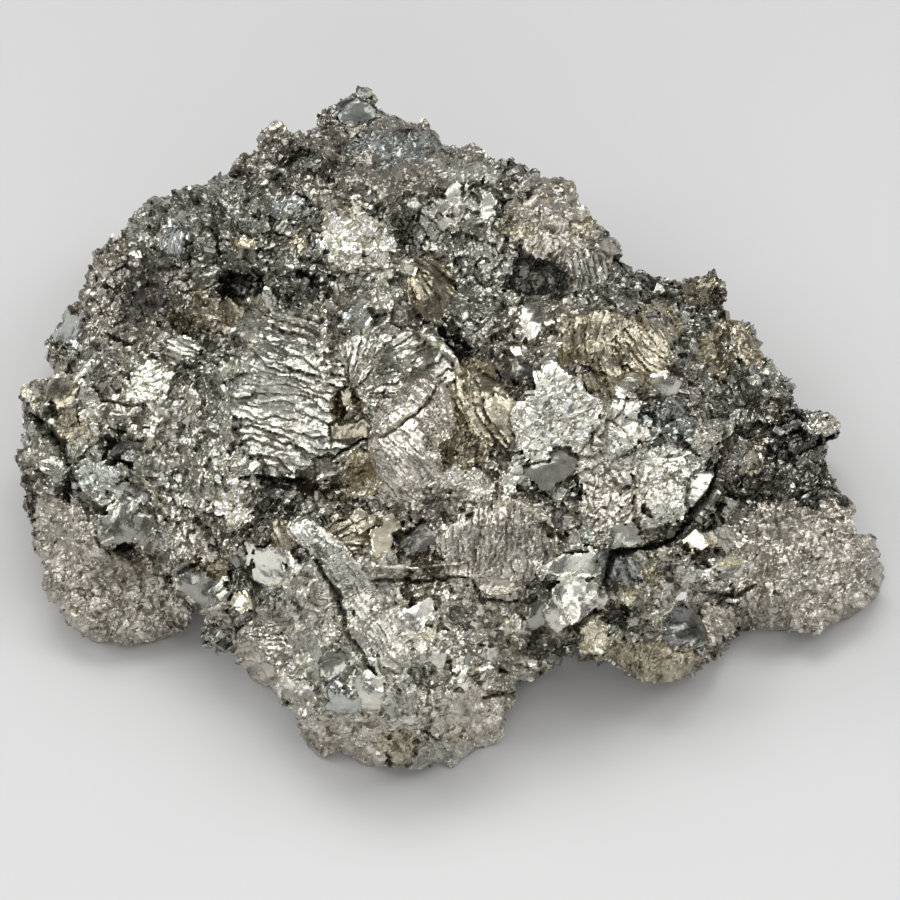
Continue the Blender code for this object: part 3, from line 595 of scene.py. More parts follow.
def grain_relief(along: Array, across: Array, pitch: float, seed: int) -> Relief:
    """Make a crust of small crumbs of two sizes, run together, with a few painted glints."""
    places = np.stack((along, across), axis=1)
    places = places + 0.45 * pitch * np.stack([layered_noise(places / (1.3 * pitch), seed + axis, 2)
                                               for axis in (41, 42)], axis=1)
    large = broken_up(places / (1.8 * pitch), seed)
    small = broken_up(places / (0.75 * pitch), seed + 5)
    own = large.chance(seed + 9)
    rough = layered_noise(places / (0.7 * pitch), seed + 6, 2)
    height = 1.8 * pitch * (0.22 * own - 0.2 * large.near ** 2 + 0.3 * large.lean(seed + 10))
    height += 0.75 * pitch * (0.35 * small.chance(seed + 11) - 0.25 * small.near ** 2
                              + 0.45 * small.lean(seed + 12)) + 0.1 * pitch * rough
    # A few crumbs are painted brighter: painted glints.
    painted_glint = np.maximum(small.chance(seed + 15) - 0.8, 0) / 0.2
    tone = (0.86 + 0.22 * own) * (0.85 + 0.2 * small.chance(seed + 16) + 0.55 * painted_glint) * (1 + 0.14 * rough)
    return Relief(height, tone)


def crackle_relief(along: Array, across: Array, pitch: float, seed: int) -> Relief:
    """Make a plate that has cracked into low flat bits, with painted shade in the cracks."""
    places = np.stack((along, across), axis=1)
    places = places + 0.2 * pitch * np.stack([layered_noise(places / pitch, seed + axis, 2)
                                              for axis in (51, 52)], axis=1)
    large = broken_up(places / pitch, seed)
    small = broken_up(places / (0.36 * pitch), seed + 5)
    crack_and_painted_shade = np.exp(-(large.gap / 0.05) ** 2)
    height = 0.2 * pitch * large.lean(seed + 8) + 0.12 * pitch * small.lean(seed + 9)
    height += 0.06 * pitch * large.chance(seed + 10) - 0.06 * pitch * crack_and_painted_shade
    tone = (0.66 + 0.5 * small.chance(seed + 12)) * (1 - 0.5 * crack_and_painted_shade)
    return Relief(height, tone)


RELIEFS = {
    Pattern.SMOOTH: smooth_relief,
    Pattern.LATHS: lath_relief,
    Pattern.FAN: lath_relief,
    Pattern.SCALES: scale_relief,
    Pattern.BLOCKS: block_relief,
    Pattern.GRAINS: grain_relief,
    Pattern.COLUMNS: column_relief,
    Pattern.CRACKLE: crackle_relief,
    Pattern.PIT: block_relief,
}


@dataclass(frozen=True)
class PhotoView:
    """The view that the photograph was taken from.

    Args:
        elevation: How far the camera looks down, in degrees.
        distance: From the camera to the middle of the piece, in metres.
        height: How far that middle is above the floor along the view, in metres.
        aim: The point of the floor that the view is centred on, in metres.
    """

    elevation: float = 52.0
    distance: float = 0.2
    height: float = 0.008
    aim: tuple = (0.00002, 0.0017, 0.0)

    @property
    def forward(self) -> Array:
        """The way the camera looks."""
        angle = math.radians(self.elevation)
        return np.array((0.0, math.cos(angle), -math.sin(angle)))

    @property
    def up(self) -> Array:
        """The way that is up in the picture."""
        angle = math.radians(self.elevation)
        return np.array((0.0, math.sin(angle), math.cos(angle)))

    @property
    def eye(self) -> Array:
        """Where the camera stands."""
        return np.array(self.aim) - self.forward * (self.distance + self.height)

    @property
    def pixels_per_slope(self) -> float:
        """How many pixels a slope of one covers."""
        return self.distance / (MM_PER_PIXEL * MM)

    def pixels_of(self, points: Array) -> Array:
        """Work out where points fall in the photograph's frame.

        Args:
            points: Points in metres, one row each.

        Returns:
            Their pixels, one row each: across, and down.
        """
        away = points - self.eye
        depth = away @ self.forward
        across = away[:, 0] / depth * self.pixels_per_slope + PHOTO_SIDE / 2
        down = PHOTO_SIDE / 2 - away @ self.up / depth * self.pixels_per_slope
        return np.stack((across, down), axis=1)

    def make_camera(self) -> bpy.types.Object:
        """Make the camera, and make it the scene's own.

        Returns:
            The camera.
        """
        data = bpy.data.cameras.new("photo_camera")
        data.sensor_width = 36.0
        data.lens = data.sensor_width * self.pixels_per_slope / PHOTO_SIDE
        data.clip_start = 0.01
        data.clip_end = 10.0
        camera = bpy.data.objects.new("photo_camera", data)
        camera.location = Vector(self.eye)
        camera.rotation_euler = (math.radians(90 - self.elevation), 0.0, 0.0)
        bpy.context.scene.collection.objects.link(camera)
        bpy.context.scene.camera = camera
        return camera


def on_picture(pixels: Array) -> Array:
    """Turn pixels into mm from the middle of the picture, right and up."""
    return (pixels - PHOTO_SIDE / 2) * np.array((MM_PER_PIXEL, -MM_PER_PIXEL))


@dataclass
class Skin:
    """A surface of triangles.

    Args:
        points: Its points in metres, one row each.
        faces: The three points of each triangle, one row each.
    """

    points: Array
    faces: Array

    @classmethod
    def of_object(cls, thing: bpy.types.Object) -> "Skin":
        """Read the surface that an object's modifiers make."""
        graph = bpy.context.evaluated_depsgraph_get()
        mesh = thing.evaluated_get(graph).to_mesh()
        mesh.calc_loop_triangles()
        points = np.empty(len(mesh.vertices) * 3)
        mesh.vertices.foreach_get("co", points)
        faces = np.empty(len(mesh.loop_triangles) * 3, np.int64)
        mesh.loop_triangles.foreach_get("vertices", faces)
        return cls(points.reshape(-1, 3), faces.reshape(-1, 3))

    def crossings(self) -> Array:
        """Give each triangle's normal, as long as twice its area."""
        a, b, c = (self.points[self.faces[:, corner]] for corner in range(3))
        return np.cross(b - a, c - a)

    def spread(self, values: Array) -> Array:
        """Add up at each point what its triangles have.

        Args:
            values: One row for each triangle.

        Returns:
            One row for each point.
        """
        corners = self.faces.ravel()
        repeated = np.repeat(values, 3, axis=0)
        columns = [np.bincount(corners, repeated[:, axis], len(self.points)) for axis in range(values.shape[1])]
        return np.stack(columns, axis=1)

    def normals(self) -> Array:
        """Give the outward direction at each point."""
        total = self.spread(self.crossings())
        return total / np.maximum(np.linalg.norm(total, axis=1, keepdims=True), 1e-20)

    def edges(self) -> Array:
        """Give the two points of each edge, once."""
        sides = np.sort(self.faces[:, [[0, 1], [1, 2], [2, 0]]].reshape(-1, 2), axis=1)
        key = np.unique(sides[:, 0] * len(self.points) + sides[:, 1])
        return np.stack((key // len(self.points), key % len(self.points)), axis=1)

    def soften(self, rounds: int, share: Array) -> None:
        """Pull each point towards the middle of its neighbours, again and again.

        Args:
            rounds: How many times.
            share: For each point, how far of the way it goes.
        """
        edges = self.edges()
        heads = np.concatenate((edges[:, 0], edges[:, 1]))
        tails = np.concatenate((edges[:, 1], edges[:, 0]))
        count = np.maximum(np.bincount(heads, minlength=len(self.points)), 1)
        for _ in range(rounds):
            columns = [np.bincount(heads, self.points[tails, axis], len(self.points)) / count
                       for axis in range(3)]
            self.points += share[:, None] * (np.stack(columns, axis=1) - self.points)

    def refined(self, marked: Array) -> "Skin":
        """Split marked triangles in four, and their neighbours so that no gap opens.

        Args:
            marked: True for each triangle to split.

        Returns:
            The finer surface.
        """
        total = len(self.points)
        sides = np.sort(self.faces[:, [[0, 1], [1, 2], [2, 0]]].reshape(-1, 2), axis=1)
        keys, place = np.unique(sides[:, 0] * total + sides[:, 1], return_inverse=True)
        place = place.reshape(-1, 3)
        split = np.zeros(len(keys), bool)
        split[place[marked].ravel()] = True
        middle = np.full(len(keys), -1)
        middle[split] = total + np.arange(split.sum())
        ends = keys[split]
        halves = (self.points[ends // total] + self.points[ends % total]) / 2
        middles = middle[place]
        whole = middles < 0
        count = 3 - whole.sum(axis=1)
        made = [self.faces[count == 0]]
        for turn in range(3):
            order = [turn, (turn + 1) % 3, (turn + 2) % 3]
            corners, mids = self.faces[:, order], middles[:, order]
            one = (count == 1) & (mids[:, 0] >= 0)
            a, b, c, m = corners[one, 0], corners[one, 1], corners[one, 2], mids[one, 0]
            made += [np.stack((a, m, c), 1), np.stack((m, b, c), 1)]
            two = (count == 2) & (mids[:, 2] < 0)
            a, b, c = (corners[two, corner] for corner in range(3))
            m, k = mids[two, 0], mids[two, 1]
            made += [np.stack((m, b, k), 1), np.stack((a, m, k), 1), np.stack((a, k, c), 1)]
        three = count == 3
        a, b, c = (self.faces[three, corner] for corner in range(3))
        m, k, q = (middles[three, corner] for corner in range(3))
        made += [np.stack((a, m, q), 1), np.stack((m, b, k), 1), np.stack((q, k, c), 1), np.stack((m, k, q), 1)]
        return Skin(np.concatenate((self.points, halves)), np.concatenate(made))

    def make_object(self, name: str, kept: Array, colours: Array, finish: Array,
                    materials: list, sharp: float) -> bpy.types.Object:
        """Make an object of some of the triangles.

        Args:
            name: The object's name.
            kept: Which triangles.
            colours: The colour of each point, one row each.
            finish: Which of the materials each triangle has.
            materials: The materials.
            sharp: The angle in degrees past which an edge stays sharp.

        Returns:
            The object.
        """
        used, place = np.unique(self.faces[kept], return_inverse=True)
        faces = place.reshape(-1, 3)
        mesh = bpy.data.meshes.new(name)
        mesh.vertices.add(len(used))
        mesh.vertices.foreach_set("co", self.points[used].astype(np.float32).ravel())
        mesh.loops.add(faces.size)
        mesh.loops.foreach_set("vertex_index", faces.astype(np.int32).ravel())
        mesh.polygons.add(len(faces))
        mesh.polygons.foreach_set("loop_start", np.arange(0, faces.size, 3, dtype=np.int32))
        for material in materials:
            mesh.materials.append(material)
        mesh.polygons.foreach_set("material_index", finish[kept].astype(np.int32))
        # The points' colours hold the metal's tints together with painted light and shade.
        layer = mesh.attributes.new("colour_and_painted_light", "FLOAT_COLOR", "POINT")
        shown = np.concatenate((colours[used], np.ones((len(used), 1))), axis=1)
        layer.data.foreach_set("color", shown.astype(np.float32).ravel())
        mesh.update(calc_edges=True)
        mesh.validate()
        mesh.shade_smooth()
        mesh.set_sharp_from_angle(angle=math.radians(sharp))
        made = bpy.data.objects.new(name, mesh)
        bpy.context.scene.collection.objects.link(made)
        return made


@dataclass(frozen=True)
class Finish:
    """A finish of the metal: its gloss and the fine relief that is too small to model.

    Args:
        name: The material's name.
        roughness: How much it blurs what it mirrors, least and most.
        grain_mm: The size of its finest relief.
        bump: How strong that relief is.
        mottle: How much its colour varies.
        facet_mm: The size of its tiny flat faces.
        facet_slope: How much those faces lean.
        stretch: How many times longer than wide its relief is.
    """

    name: str
    roughness: tuple
    grain_mm: float
    bump: float
    mottle: float
    facet_mm: float
    facet_slope: float
    stretch: float = 1.0

    def make(self) -> bpy.types.Material:
        """Make the material.

        Returns:
            The material.
        """
        material = bpy.data.materials.new(self.name)
        material.use_nodes = True
        nodes, links = material.node_tree.nodes, material.node_tree.links
        shader = nodes["Principled BSDF"]
        shader.inputs["Metallic"].default_value = 1.0
        place = nodes.new("ShaderNodeTexCoord")
        mapping = nodes.new("ShaderNodeMapping")
        mapping.inputs["Scale"].default_value = (1.0, 1.0, self.stretch)
        links.new(place.outputs["Object"], mapping.inputs["Vector"])
        fine = self.noise(nodes, links, mapping, 1 / (self.grain_mm * MM), 3.0)
        broad = self.noise(nodes, links, mapping, 1 / (self.grain_mm * 9 * MM), 3.0)
        self.colour(nodes, links, shader, broad, fine)
        self.gloss(nodes, links, shader, broad)
        rough = nodes.new("ShaderNodeBump")
        rough.inputs["Strength"].default_value = self.bump
        rough.inputs["Distance"].default_value = self.grain_mm * MM
        links.new(fine.outputs["Fac"], rough.inputs["Height"])
        self.facets(nodes, links, shader, mapping, rough)
        return material

    def facets(self, nodes: bpy.types.Nodes, links: bpy.types.NodeLinks, shader: bpy.types.Node,
               mapping: bpy.types.Node, rough: bpy.types.Node) -> None:
        """Add tiny flat faces that each lean their own way, over the fine relief."""
        cells = nodes.new("ShaderNodeTexVoronoi")
        cells.inputs["Scale"].default_value = 1 / (self.facet_mm * MM)
        links.new(mapping.outputs["Vector"], cells.inputs["Vector"])
        away = nodes.new("ShaderNodeVectorMath")
        away.operation = "SUBTRACT"
        links.new(mapping.outputs["Vector"], away.inputs[0])
        links.new(cells.outputs["Position"], away.inputs[1])
        lean = nodes.new("ShaderNodeVectorMath")
        lean.operation = "SUBTRACT"
        lean.inputs[1].default_value = (0.5, 0.5, 0.5)
        links.new(cells.outputs["Color"], lean.inputs[0])
        height = nodes.new("ShaderNodeVectorMath")
        height.operation = "DOT_PRODUCT"
        links.new(away.outputs["Vector"], height.inputs[0])
        links.new(lean.outputs["Vector"], height.inputs[1])
        bump = nodes.new("ShaderNodeBump")
        bump.inputs["Strength"].default_value = 1.0
        bump.inputs["Distance"].default_value = self.facet_slope
        links.new(height.outputs["Value"], bump.inputs["Height"])
        links.new(rough.outputs["Normal"], bump.inputs["Normal"])
        links.new(bump.outputs["Normal"], shader.inputs["Normal"])

    @staticmethod
    def noise(nodes: bpy.types.Nodes, links: bpy.types.NodeLinks, mapping: bpy.types.Node,
              scale: float, detail: float) -> bpy.types.Node:
        """Add a noise of one scale to the material's nodes."""
        node = nodes.new("ShaderNodeTexNoise")
        node.inputs["Scale"].default_value = scale
        node.inputs["Detail"].default_value = detail
        links.new(mapping.outputs["Vector"], node.inputs["Vector"])
        return node

    def colour(self, nodes: bpy.types.Nodes, links: bpy.types.NodeLinks, shader: bpy.types.Node,
               broad: bpy.types.Node, fine: bpy.types.Node) -> None:
        """Vary the colour of the surface by a broad and a fine noise."""
        own = nodes.new("ShaderNodeAttribute")
        own.attribute_name = "colour_and_painted_light"
        both = nodes.new("ShaderNodeMath")
        both.operation = "MULTIPLY"
        links.new(broad.outputs["Fac"], both.inputs[0])
        links.new(fine.outputs["Fac"], both.inputs[1])
        share = nodes.new("ShaderNodeMapRange")
        share.inputs["From Min"].default_value = 0.1
        share.inputs["From Max"].default_value = 0.42
        share.inputs["To Min"].default_value = 1.0 - self.mottle
        share.inputs["To Max"].default_value = 1.0 + self.mottle
        links.new(both.outputs["Value"], share.inputs["Value"])
        scaled = nodes.new("ShaderNodeVectorMath")
        scaled.operation = "SCALE"
        links.new(own.outputs["Color"], scaled.inputs[0])
        links.new(share.outputs["Result"], scaled.inputs["Scale"])
        links.new(scaled.outputs["Vector"], shader.inputs["Base Color"])

    def gloss(self, nodes: bpy.types.Nodes, links: bpy.types.NodeLinks, shader: bpy.types.Node,
              broad: bpy.types.Node) -> None:
        """Vary the roughness of the surface by a broad noise."""
        ramp = nodes.new("ShaderNodeMapRange")
        ramp.inputs["From Min"].default_value = 0.3
        ramp.inputs["From Max"].default_value = 0.7
        ramp.inputs["To Min"].default_value = self.roughness[0]
        ramp.inputs["To Max"].default_value = self.roughness[1]
        links.new(broad.outputs["Fac"], ramp.inputs["Value"])
        links.new(ramp.outputs["Result"], shader.inputs["Roughness"])


FACET_FINISH = Finish("bright_facet", (0.2, 0.3), 0.03, 0.12, 0.08, 0.12, 0.12)
LATH_FINISH = Finish("striated_metal", (0.2, 0.32), 0.03, 0.22, 0.12, 0.1, 0.32)
BLOCK_FINISH = Finish("blocky_crystal", (0.18, 0.3), 0.03, 0.2, 0.12, 0.11, 0.3)
CRUST_FINISH = Finish("granular_crust", (0.24, 0.38), 0.03, 0.35, 0.16, 0.1, 0.5)
FINISHES = (FACET_FINISH, LATH_FINISH, BLOCK_FINISH, CRUST_FINISH)

FINISH_OF = {
    Pattern.SMOOTH: 0,
    Pattern.CRACKLE: 0,
    Pattern.LATHS: 1,
    Pattern.FAN: 1,
    Pattern.SCALES: 1,
    Pattern.BLOCKS: 2,
    Pattern.COLUMNS: 2,
    Pattern.PIT: 2,
    Pattern.GRAINS: 3,
}


# How much of the front's gentle ups and downs each finish shows.
ROLL_SHARES = (0.35, 0.6, 1.0, 1.0)


@dataclass
class CrystalSkin:
    """The whole outside of the piece, in parts that meet edge to edge.

    Args:
        view: The view that the crystals' pixels are given in.
        voxel: The edge of the triangles that the hidden sides keep, in mm.
        softening: How many times the front is softened before crystals are laid on it.
        facing_from: How squarely the front has to face the view before crystals show.
        facing_full: How squarely it faces where they show in full.
        roll_height: How high the gentle ups and downs of the front are, in mm.
        border_jag: How far the crystals' borders jump to and fro, in mm.
        crust_pitch: The size of the crust's crystals where no row says otherwise, in mm.
        crust_sunk: How far the crust's middle lies under the solid's face, in mm.
        sharp: The angle in degrees past which an edge stays sharp.
        parts: The parts' names, and the place in mm, right and up in the picture, of each.
        skin: The finished skin, once it is built.
        colours: The colour of each of its points.
        kinds: The finish of each of its points.
    """

    view: PhotoView
    voxel: float = 0.125
    softening: int = 34
    facing_from: float = 0.06
    facing_full: float = 0.3
    roll_height: float = 0.17
    border_jag: float = 0.22
    crust_pitch: float = 0.5
    crust_sunk: float = 0.1
    sharp: float = 38.0
    parts: dict = field(default_factory=lambda: {
        "left_end_skin": (-11.5, -1.0),
        "left_middle_skin": (-6.0, 0.5),
        "crown_skin": (-1.5, 7.5),
        "middle_skin": (-0.5, 0.5),
        "front_skin": (-1.5, -7.5),
        "right_middle_skin": (5.0, 0.5),
        "right_end_skin": (10.5, -1.0),
    })
    skin: Skin = field(init=False)
    colours: Array = field(init=False)
    kinds: Array = field(init=False)

    def start(self) -> Skin:
        """Make an even skin of small triangles over the solid.

        Returns:
            The skin, softened where the front shows.
        """
        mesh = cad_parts[NODE].data.copy()
        thing = bpy.data.objects.new("start_of_skin", mesh)
        bpy.context.scene.collection.objects.link(thing)
        weld = thing.modifiers.new("Weld", "WELD")
        weld.merge_threshold = 0.000001
        even = thing.modifiers.new("Even", "REMESH")
        even.mode = "VOXEL"
        even.voxel_size = self.voxel * MM
        skin = Skin.of_object(thing)
        bpy.data.objects.remove(thing, do_unlink=True)
        skin.soften(2, np.full(len(skin.points), 0.5))
        facing = self.facing(skin)
        skin.soften(self.softening, 0.6 * eased(facing, 0.05, 0.5))
        return skin

    def facing(self, skin: Skin) -> Array:
        """Say how squarely each point faces the view, from -1 to 1."""
        return -(skin.normals() @ self.view.forward)

    def jagged(self, spots: Array) -> Array:
        """Shift places cell by cell, so that a smooth border between crystals turns angular.

        Args:
            spots: Places on the picture in mm, one row each.

        Returns:
            The shifted places.
        """
        moved = spots.copy()
        for size, seed in ((0.75, 11), (0.3, 23)):
            cells = broken_up(spots / size, seed)
            for axis in range(2):
                moved[:, axis] += self.border_jag * size / 0.75 * (2 * cells.chance(seed + 3 + axis) - 1)
        return moved

    def owners(self, spots: Array) -> tuple:
        """Find which crystal each place belongs to. Later rows lie on top of earlier ones.

        Args:
            spots: Places on the picture in mm, one row each.

        Returns:
            The crystal's number, or -1, and how near the place is to its border.
        """
        jagged = self.jagged(spots)
        owner = np.full(len(spots), -1)
        inward = np.zeros(len(spots))
        for number, crystal in enumerate(CRYSTALS):
            middle = on_picture(np.array(crystal.at))
            turn = math.radians(crystal.turn)
            away = jagged - middle
            along = (away[:, 0] * math.cos(turn) + away[:, 1] * math.sin(turn)) / crystal.half[0]
            up = (away[:, 1] * math.cos(turn) - away[:, 0] * math.sin(turn)) / crystal.half[1]
            reach = self.outline_reach(along, up, number)
            inside = reach < 1
            owner[inside] = number
            inward[inside] = (1 - reach[inside]) * min(crystal.half)
        return owner, inward

    @staticmethod
    def outline_reach(along: Array, up: Array, number: int) -> Array:
        """Measure places against a crystal's outline, which has a few straight sides.

        Args:
            along: How far each place is along the crystal, as a share of its half width.
            up: How far each is up it, as a share of its half height.
            number: The crystal's number, which chooses its sides.

        Returns:
            0 in the middle, 1 on the outline, and more outside it.
        """
        rng = np.random.default_rng(number)
        sides = rng.integers(5, 8)
        first = rng.uniform(0, math.tau)
        reach = np.zeros(len(along))
        for side in range(sides):
            angle = first + math.tau * (side + rng.uniform(-0.25, 0.25)) / sides
            span = rng.uniform(0.84, 1.04)
            reach = np.maximum(reach, (along * math.cos(angle) + up * math.sin(angle)) / span)
        return reach

    def crystal_relief(self, crystal: Crystal, spots: Array, inward: Array, number: int) -> Relief:
        """Work out the surface of one crystal.

        Args:
            crystal: The crystal.
            spots: Places on it in mm, one row each.
            inward: How far each is from its border, in mm.
            number: Its number, which seeds its pattern.

        Returns:
            How far each place stands proud, and its tone.
        """
        away = spots - on_picture(np.array(crystal.at))
        if crystal.pattern is Pattern.FAN:
            ray = spots - on_picture(np.array(crystal.focus))
            along = np.hypot(ray[:, 0], ray[:, 1])
            mean = max(float(along.mean()), crystal.pitch) if len(along) else 1.0
            across = np.arctan2(ray[:, 1], ray[:, 0]) * mean
        else:
            grain = math.radians(-crystal.grain)
            along = away[:, 0] * math.cos(grain) + away[:, 1] * math.sin(grain)
            across = away[:, 1] * math.cos(grain) - away[:, 0] * math.sin(grain)
        relief = RELIEFS[crystal.pattern](along, across, crystal.pitch, 100 + 31 * number)
        edge = eased(inward, 0.0, 0.09)
        plane = crystal.lift + away[:, 0] * crystal.tilt[0] + away[:, 1] * crystal.tilt[1]
        plane = np.clip(plane, -0.7, 0.7)
        if crystal.pattern is Pattern.PIT:
            plane = plane * eased(inward, 0.0, 0.6 * min(crystal.half))
            return Relief(plane + 0.6 * relief.height, relief.tone)
        # Near its border the crystal sinks a little and its tone is darkened: painted shade along its outline.
        return Relief(plane + relief.height - 0.03 * (1 - edge), relief.tone * (0.75 + 0.25 * edge))

    def roll(self, spots: Array) -> Array:
        """Work out the gentle ups and downs that the crystals of the front lie on.

        Args:
            spots: Places on the picture in mm, one row each.

        Returns:
            How far each stands proud, in mm.
        """
        warped = spots + 0.35 * np.stack([soft_noise(spots / 0.8, 60 + axis) for axis in range(2)], axis=1)
        broad = soft_noise(warped / 1.5, 62)
        folds = 1 - 2 * np.abs(soft_noise(warped / 0.95, 63))
        return self.roll_height * (broad + 0.55 * folds + 0.3 * soft_noise(warped / 0.5, 64))

    def crust(self, points: Array, seed: int) -> Relief:
        """Work out the crust of crystals where no row of the table lies, with painted shade along its crystals'
        borders.

        Args:
            points: Points in mm, one row each.
            seed: Which crust.

        Returns:
            How far each point stands proud, and its tone.
        """
        large = broken_up(points / (2.4 * self.crust_pitch), seed)
        middle = broken_up(points / self.crust_pitch, seed + 10)
        small = broken_up(points / (0.45 * self.crust_pitch), seed + 20)
        height = 0.3 * large.lean(seed + 5) + 0.5 * self.crust_pitch * middle.lean(seed + 15)
        height += 0.2 * self.crust_pitch * (small.lean(seed + 25) + 0.5 * small.chance(seed + 27))
        height += 0.02 * layered_noise(points / 0.2, seed + 31, 2) - self.crust_sunk
        # The crystals' borders are sunk a little and darkened: painted shade along them.
        edge = np.exp(-(middle.gap / 0.08) ** 2)
        tone = (0.75 + 0.4 * middle.chance(seed + 18)) * (0.85 + 0.3 * small.chance(seed + 28)) * (1 - 0.3 * edge)
        return Relief(height - 0.03 * edge, tone)

    def lay_seams(self, spots: Array, height: Array, colours: Array, shown: Array) -> None:
        """Cut the crevices and raise the ridges and the strap, and paint their colours: painted shade in the
        crevices, painted highlights along the ridges.

        Args:
            spots: Places on the picture in mm, one row each.
            height: How far each stands proud, which is changed.
            colours: The colour of each, which is changed.
            shown: How much of the front's relief shows at each.
        """
        wobble = np.stack([0.05 * soft_noise(spots / 0.25, 70 + axis) for axis in range(2)], axis=1)
        moved = spots + wobble
        for number, seam in enumerate(SEAMS):
            line = on_picture(np.array(seam.line, float))
            reach = 1.2 * seam.width
            low, high = line.min(axis=0) - reach, line.max(axis=0) + reach
            near = np.flatnonzero(np.all((moved > low) & (moved < high), axis=1) & (shown > 0))
            if not len(near):
                continue
            offset, along = self.beside(moved[near], line)
            total = float(np.linalg.norm(np.diff(line, axis=0), axis=1).sum())
            ends = eased(np.minimum(along, total - along), -0.02, 0.5)
            uneven = 0.72 + 0.5 * soft_noise(np.stack((along / 0.45, np.full(len(along), number + 0.5)), 1), 80)
            width = seam.width * (uneven * (0.35 + 0.65 * ends) if seam.form is not SeamForm.STRAP else 1.0)
            part = np.abs(offset) / width
            inside = part < 1
            near, offset, along, part = near[inside], offset[inside], along[inside], part[inside]
            # The seam's colour is painted light: painted shade down a crevice, a painted highlight along a ridge.
            colour = np.array(seam.tint.value) * seam.shade.value
            if seam.form is SeamForm.CREVICE:
                depth = 1 - part
                height[near] -= seam.height * depth
                blend = 0.75 * eased(depth, 0.1, 0.9)[:, None]
            elif seam.form is SeamForm.RIDGE:
                height[near] = np.maximum(height[near], 0.0) + seam.height * (1 - part ** 2)
                blend = eased(1 - part, 0.05, 0.4)[:, None]
            else:
                relief = lath_relief(along, offset, 0.12, 900 + number)
                height[near] = seam.height * (1 - 0.5 * part ** 2) + 0.8 * relief.height
                blend = eased(1 - part, 0.0, 0.1)[:, None]
                colour = colour * relief.tone[:, None]
            colours[near] = colours[near] * (1 - blend) + colour * blend

    @staticmethod
    def beside(spots: Array, line: Array) -> tuple:
        """Measure places against a line of points.

        Args:
            spots: Places in mm, one row each.
            line: The line's points in mm, one row each.

        Returns:
            How far each place is to the side of the line, and how far along it.
        """
        nearest = np.full(len(spots), np.inf)
        offset = np.zeros(len(spots))
        along = np.zeros(len(spots))
        walked = 0.0
        for start, end in zip(line[:-1], line[1:]):
            step = end - start
            length = float(np.hypot(*step))
            way = step / length
            away = spots - start
            run = np.clip(away @ way, 0, length)
            gap = np.linalg.norm(away - run[:, None] * way, axis=1)
            side = np.sign(way[0] * away[:, 1] - way[1] * away[:, 0])
            closer = gap < nearest
            nearest[closer] = gap[closer]
            offset[closer] = (gap * side)[closer]
            along[closer] = (walked + run)[closer]
            walked += length
        return offset, along

    def build(self) -> list:
        """Make the parts of the skin.

        Returns:
            The objects.
        """
        skin = self.start()
        facing = self.facing(skin)
        corners = facing[skin.faces].max(axis=1)
        flat = skin.points[:, 2] < 0.02 * MM
        skin = skin.refined((corners > 0.0) & ~flat[skin.faces].all(axis=1))
        normals = skin.normals()
        facing = -(normals @ self.view.forward)
        shown = eased(facing, self.facing_from, self.facing_full)
        log.info("skin has %d points", len(skin.points))

        points_mm = skin.points / MM
        back = self.crust(points_mm, 500)
        variety = 0.62 + 0.25 * layered_noise(points_mm / 3.0, 40)
        warm = eased(soft_noise(points_mm / 4.0, 44), -0.3, 0.5)[:, None]
        tint = np.array(Tint.STEEL.value) * (1 - warm) + np.array(Tint.ROSE.value) * warm
        colours = tint * (variety * back.tone)[:, None]
        kinds = np.full(len(skin.points), 2)

        front = np.flatnonzero(shown > 0)
        spots = on_picture(self.view.pixels_of(skin.points[front]))
        owner, inward = self.owners(spots)
        height = back.height[front].copy()
        tones = colours[front].copy()
        own_kinds = kinds[front].copy()
        for number, crystal in enumerate(CRYSTALS):
            chosen = np.flatnonzero(owner == number)
            if not len(chosen):
                log.info("crystal %s doesn't show", crystal.name)
                continue
            relief = self.crystal_relief(crystal, spots[chosen], inward[chosen], number)
            height[chosen] = relief.height
            # The crystal's colour is its tint times its painted light and shade, times its pattern's tone.
            colour = np.array(crystal.tint.value) * crystal.shade.value
            tones[chosen] = colour * relief.tone[:, None]
            own_kinds[chosen] = FINISH_OF[crystal.pattern]
        height += self.roll(spots) * np.array(ROLL_SHARES)[own_kinds]
        self.lay_seams(spots, height, tones, shown[front])

        share = shown[front]
        mixed = share[:, None]
        colours[front] = colours[front] * (1 - mixed) + tones * mixed
        kinds[front] = np.where(share > 0.4, own_kinds, kinds[front])
        toward = -self.view.forward
        way = normals[front] * 0.6 + toward * 0.4
        way /= np.linalg.norm(way, axis=1, keepdims=True)
        moved = normals * (back.height * MM)[:, None]
        moved[front] = moved[front] * (1 - mixed) + way * (height * MM * share)[:, None]
        clear = eased(skin.points[:, 2] / MM, 0.05, 0.5)[:, None]
        skin.points = skin.points + moved * clear
        skin.points[:, 2] = np.maximum(skin.points[:, 2], 0.0)
        self.skin, self.colours, self.kinds = skin, colours, kinds
        return self.divide(skin, colours, kinds)

    def divide(self, skin: Skin, colours: Array, kinds: Array) -> list:
        """Divide the skin into its parts.

        Args:
            skin: The finished skin.
            colours: The colour of each point.
            kinds: The finish of each point.

        Returns:
            The objects.
        """
        middles = skin.points[skin.faces].mean(axis=1)
        spots = on_picture(self.view.pixels_of(middles))
        centres = np.array(list(self.parts.values()))
        part = np.argmin(((spots[:, None, :] - centres[None]) ** 2).sum(axis=2), axis=1)
        finish = kinds[skin.faces[:, 0]]
        materials = [each.make() for each in FINISHES]
        made = []
        for number, name in enumerate(self.parts):
            kept = np.flatnonzero(part == number)
            made.append(skin.make_object(name, kept, np.clip(colours, 0.01, 0.97), finish, materials,
                                         self.sharp))
        return made


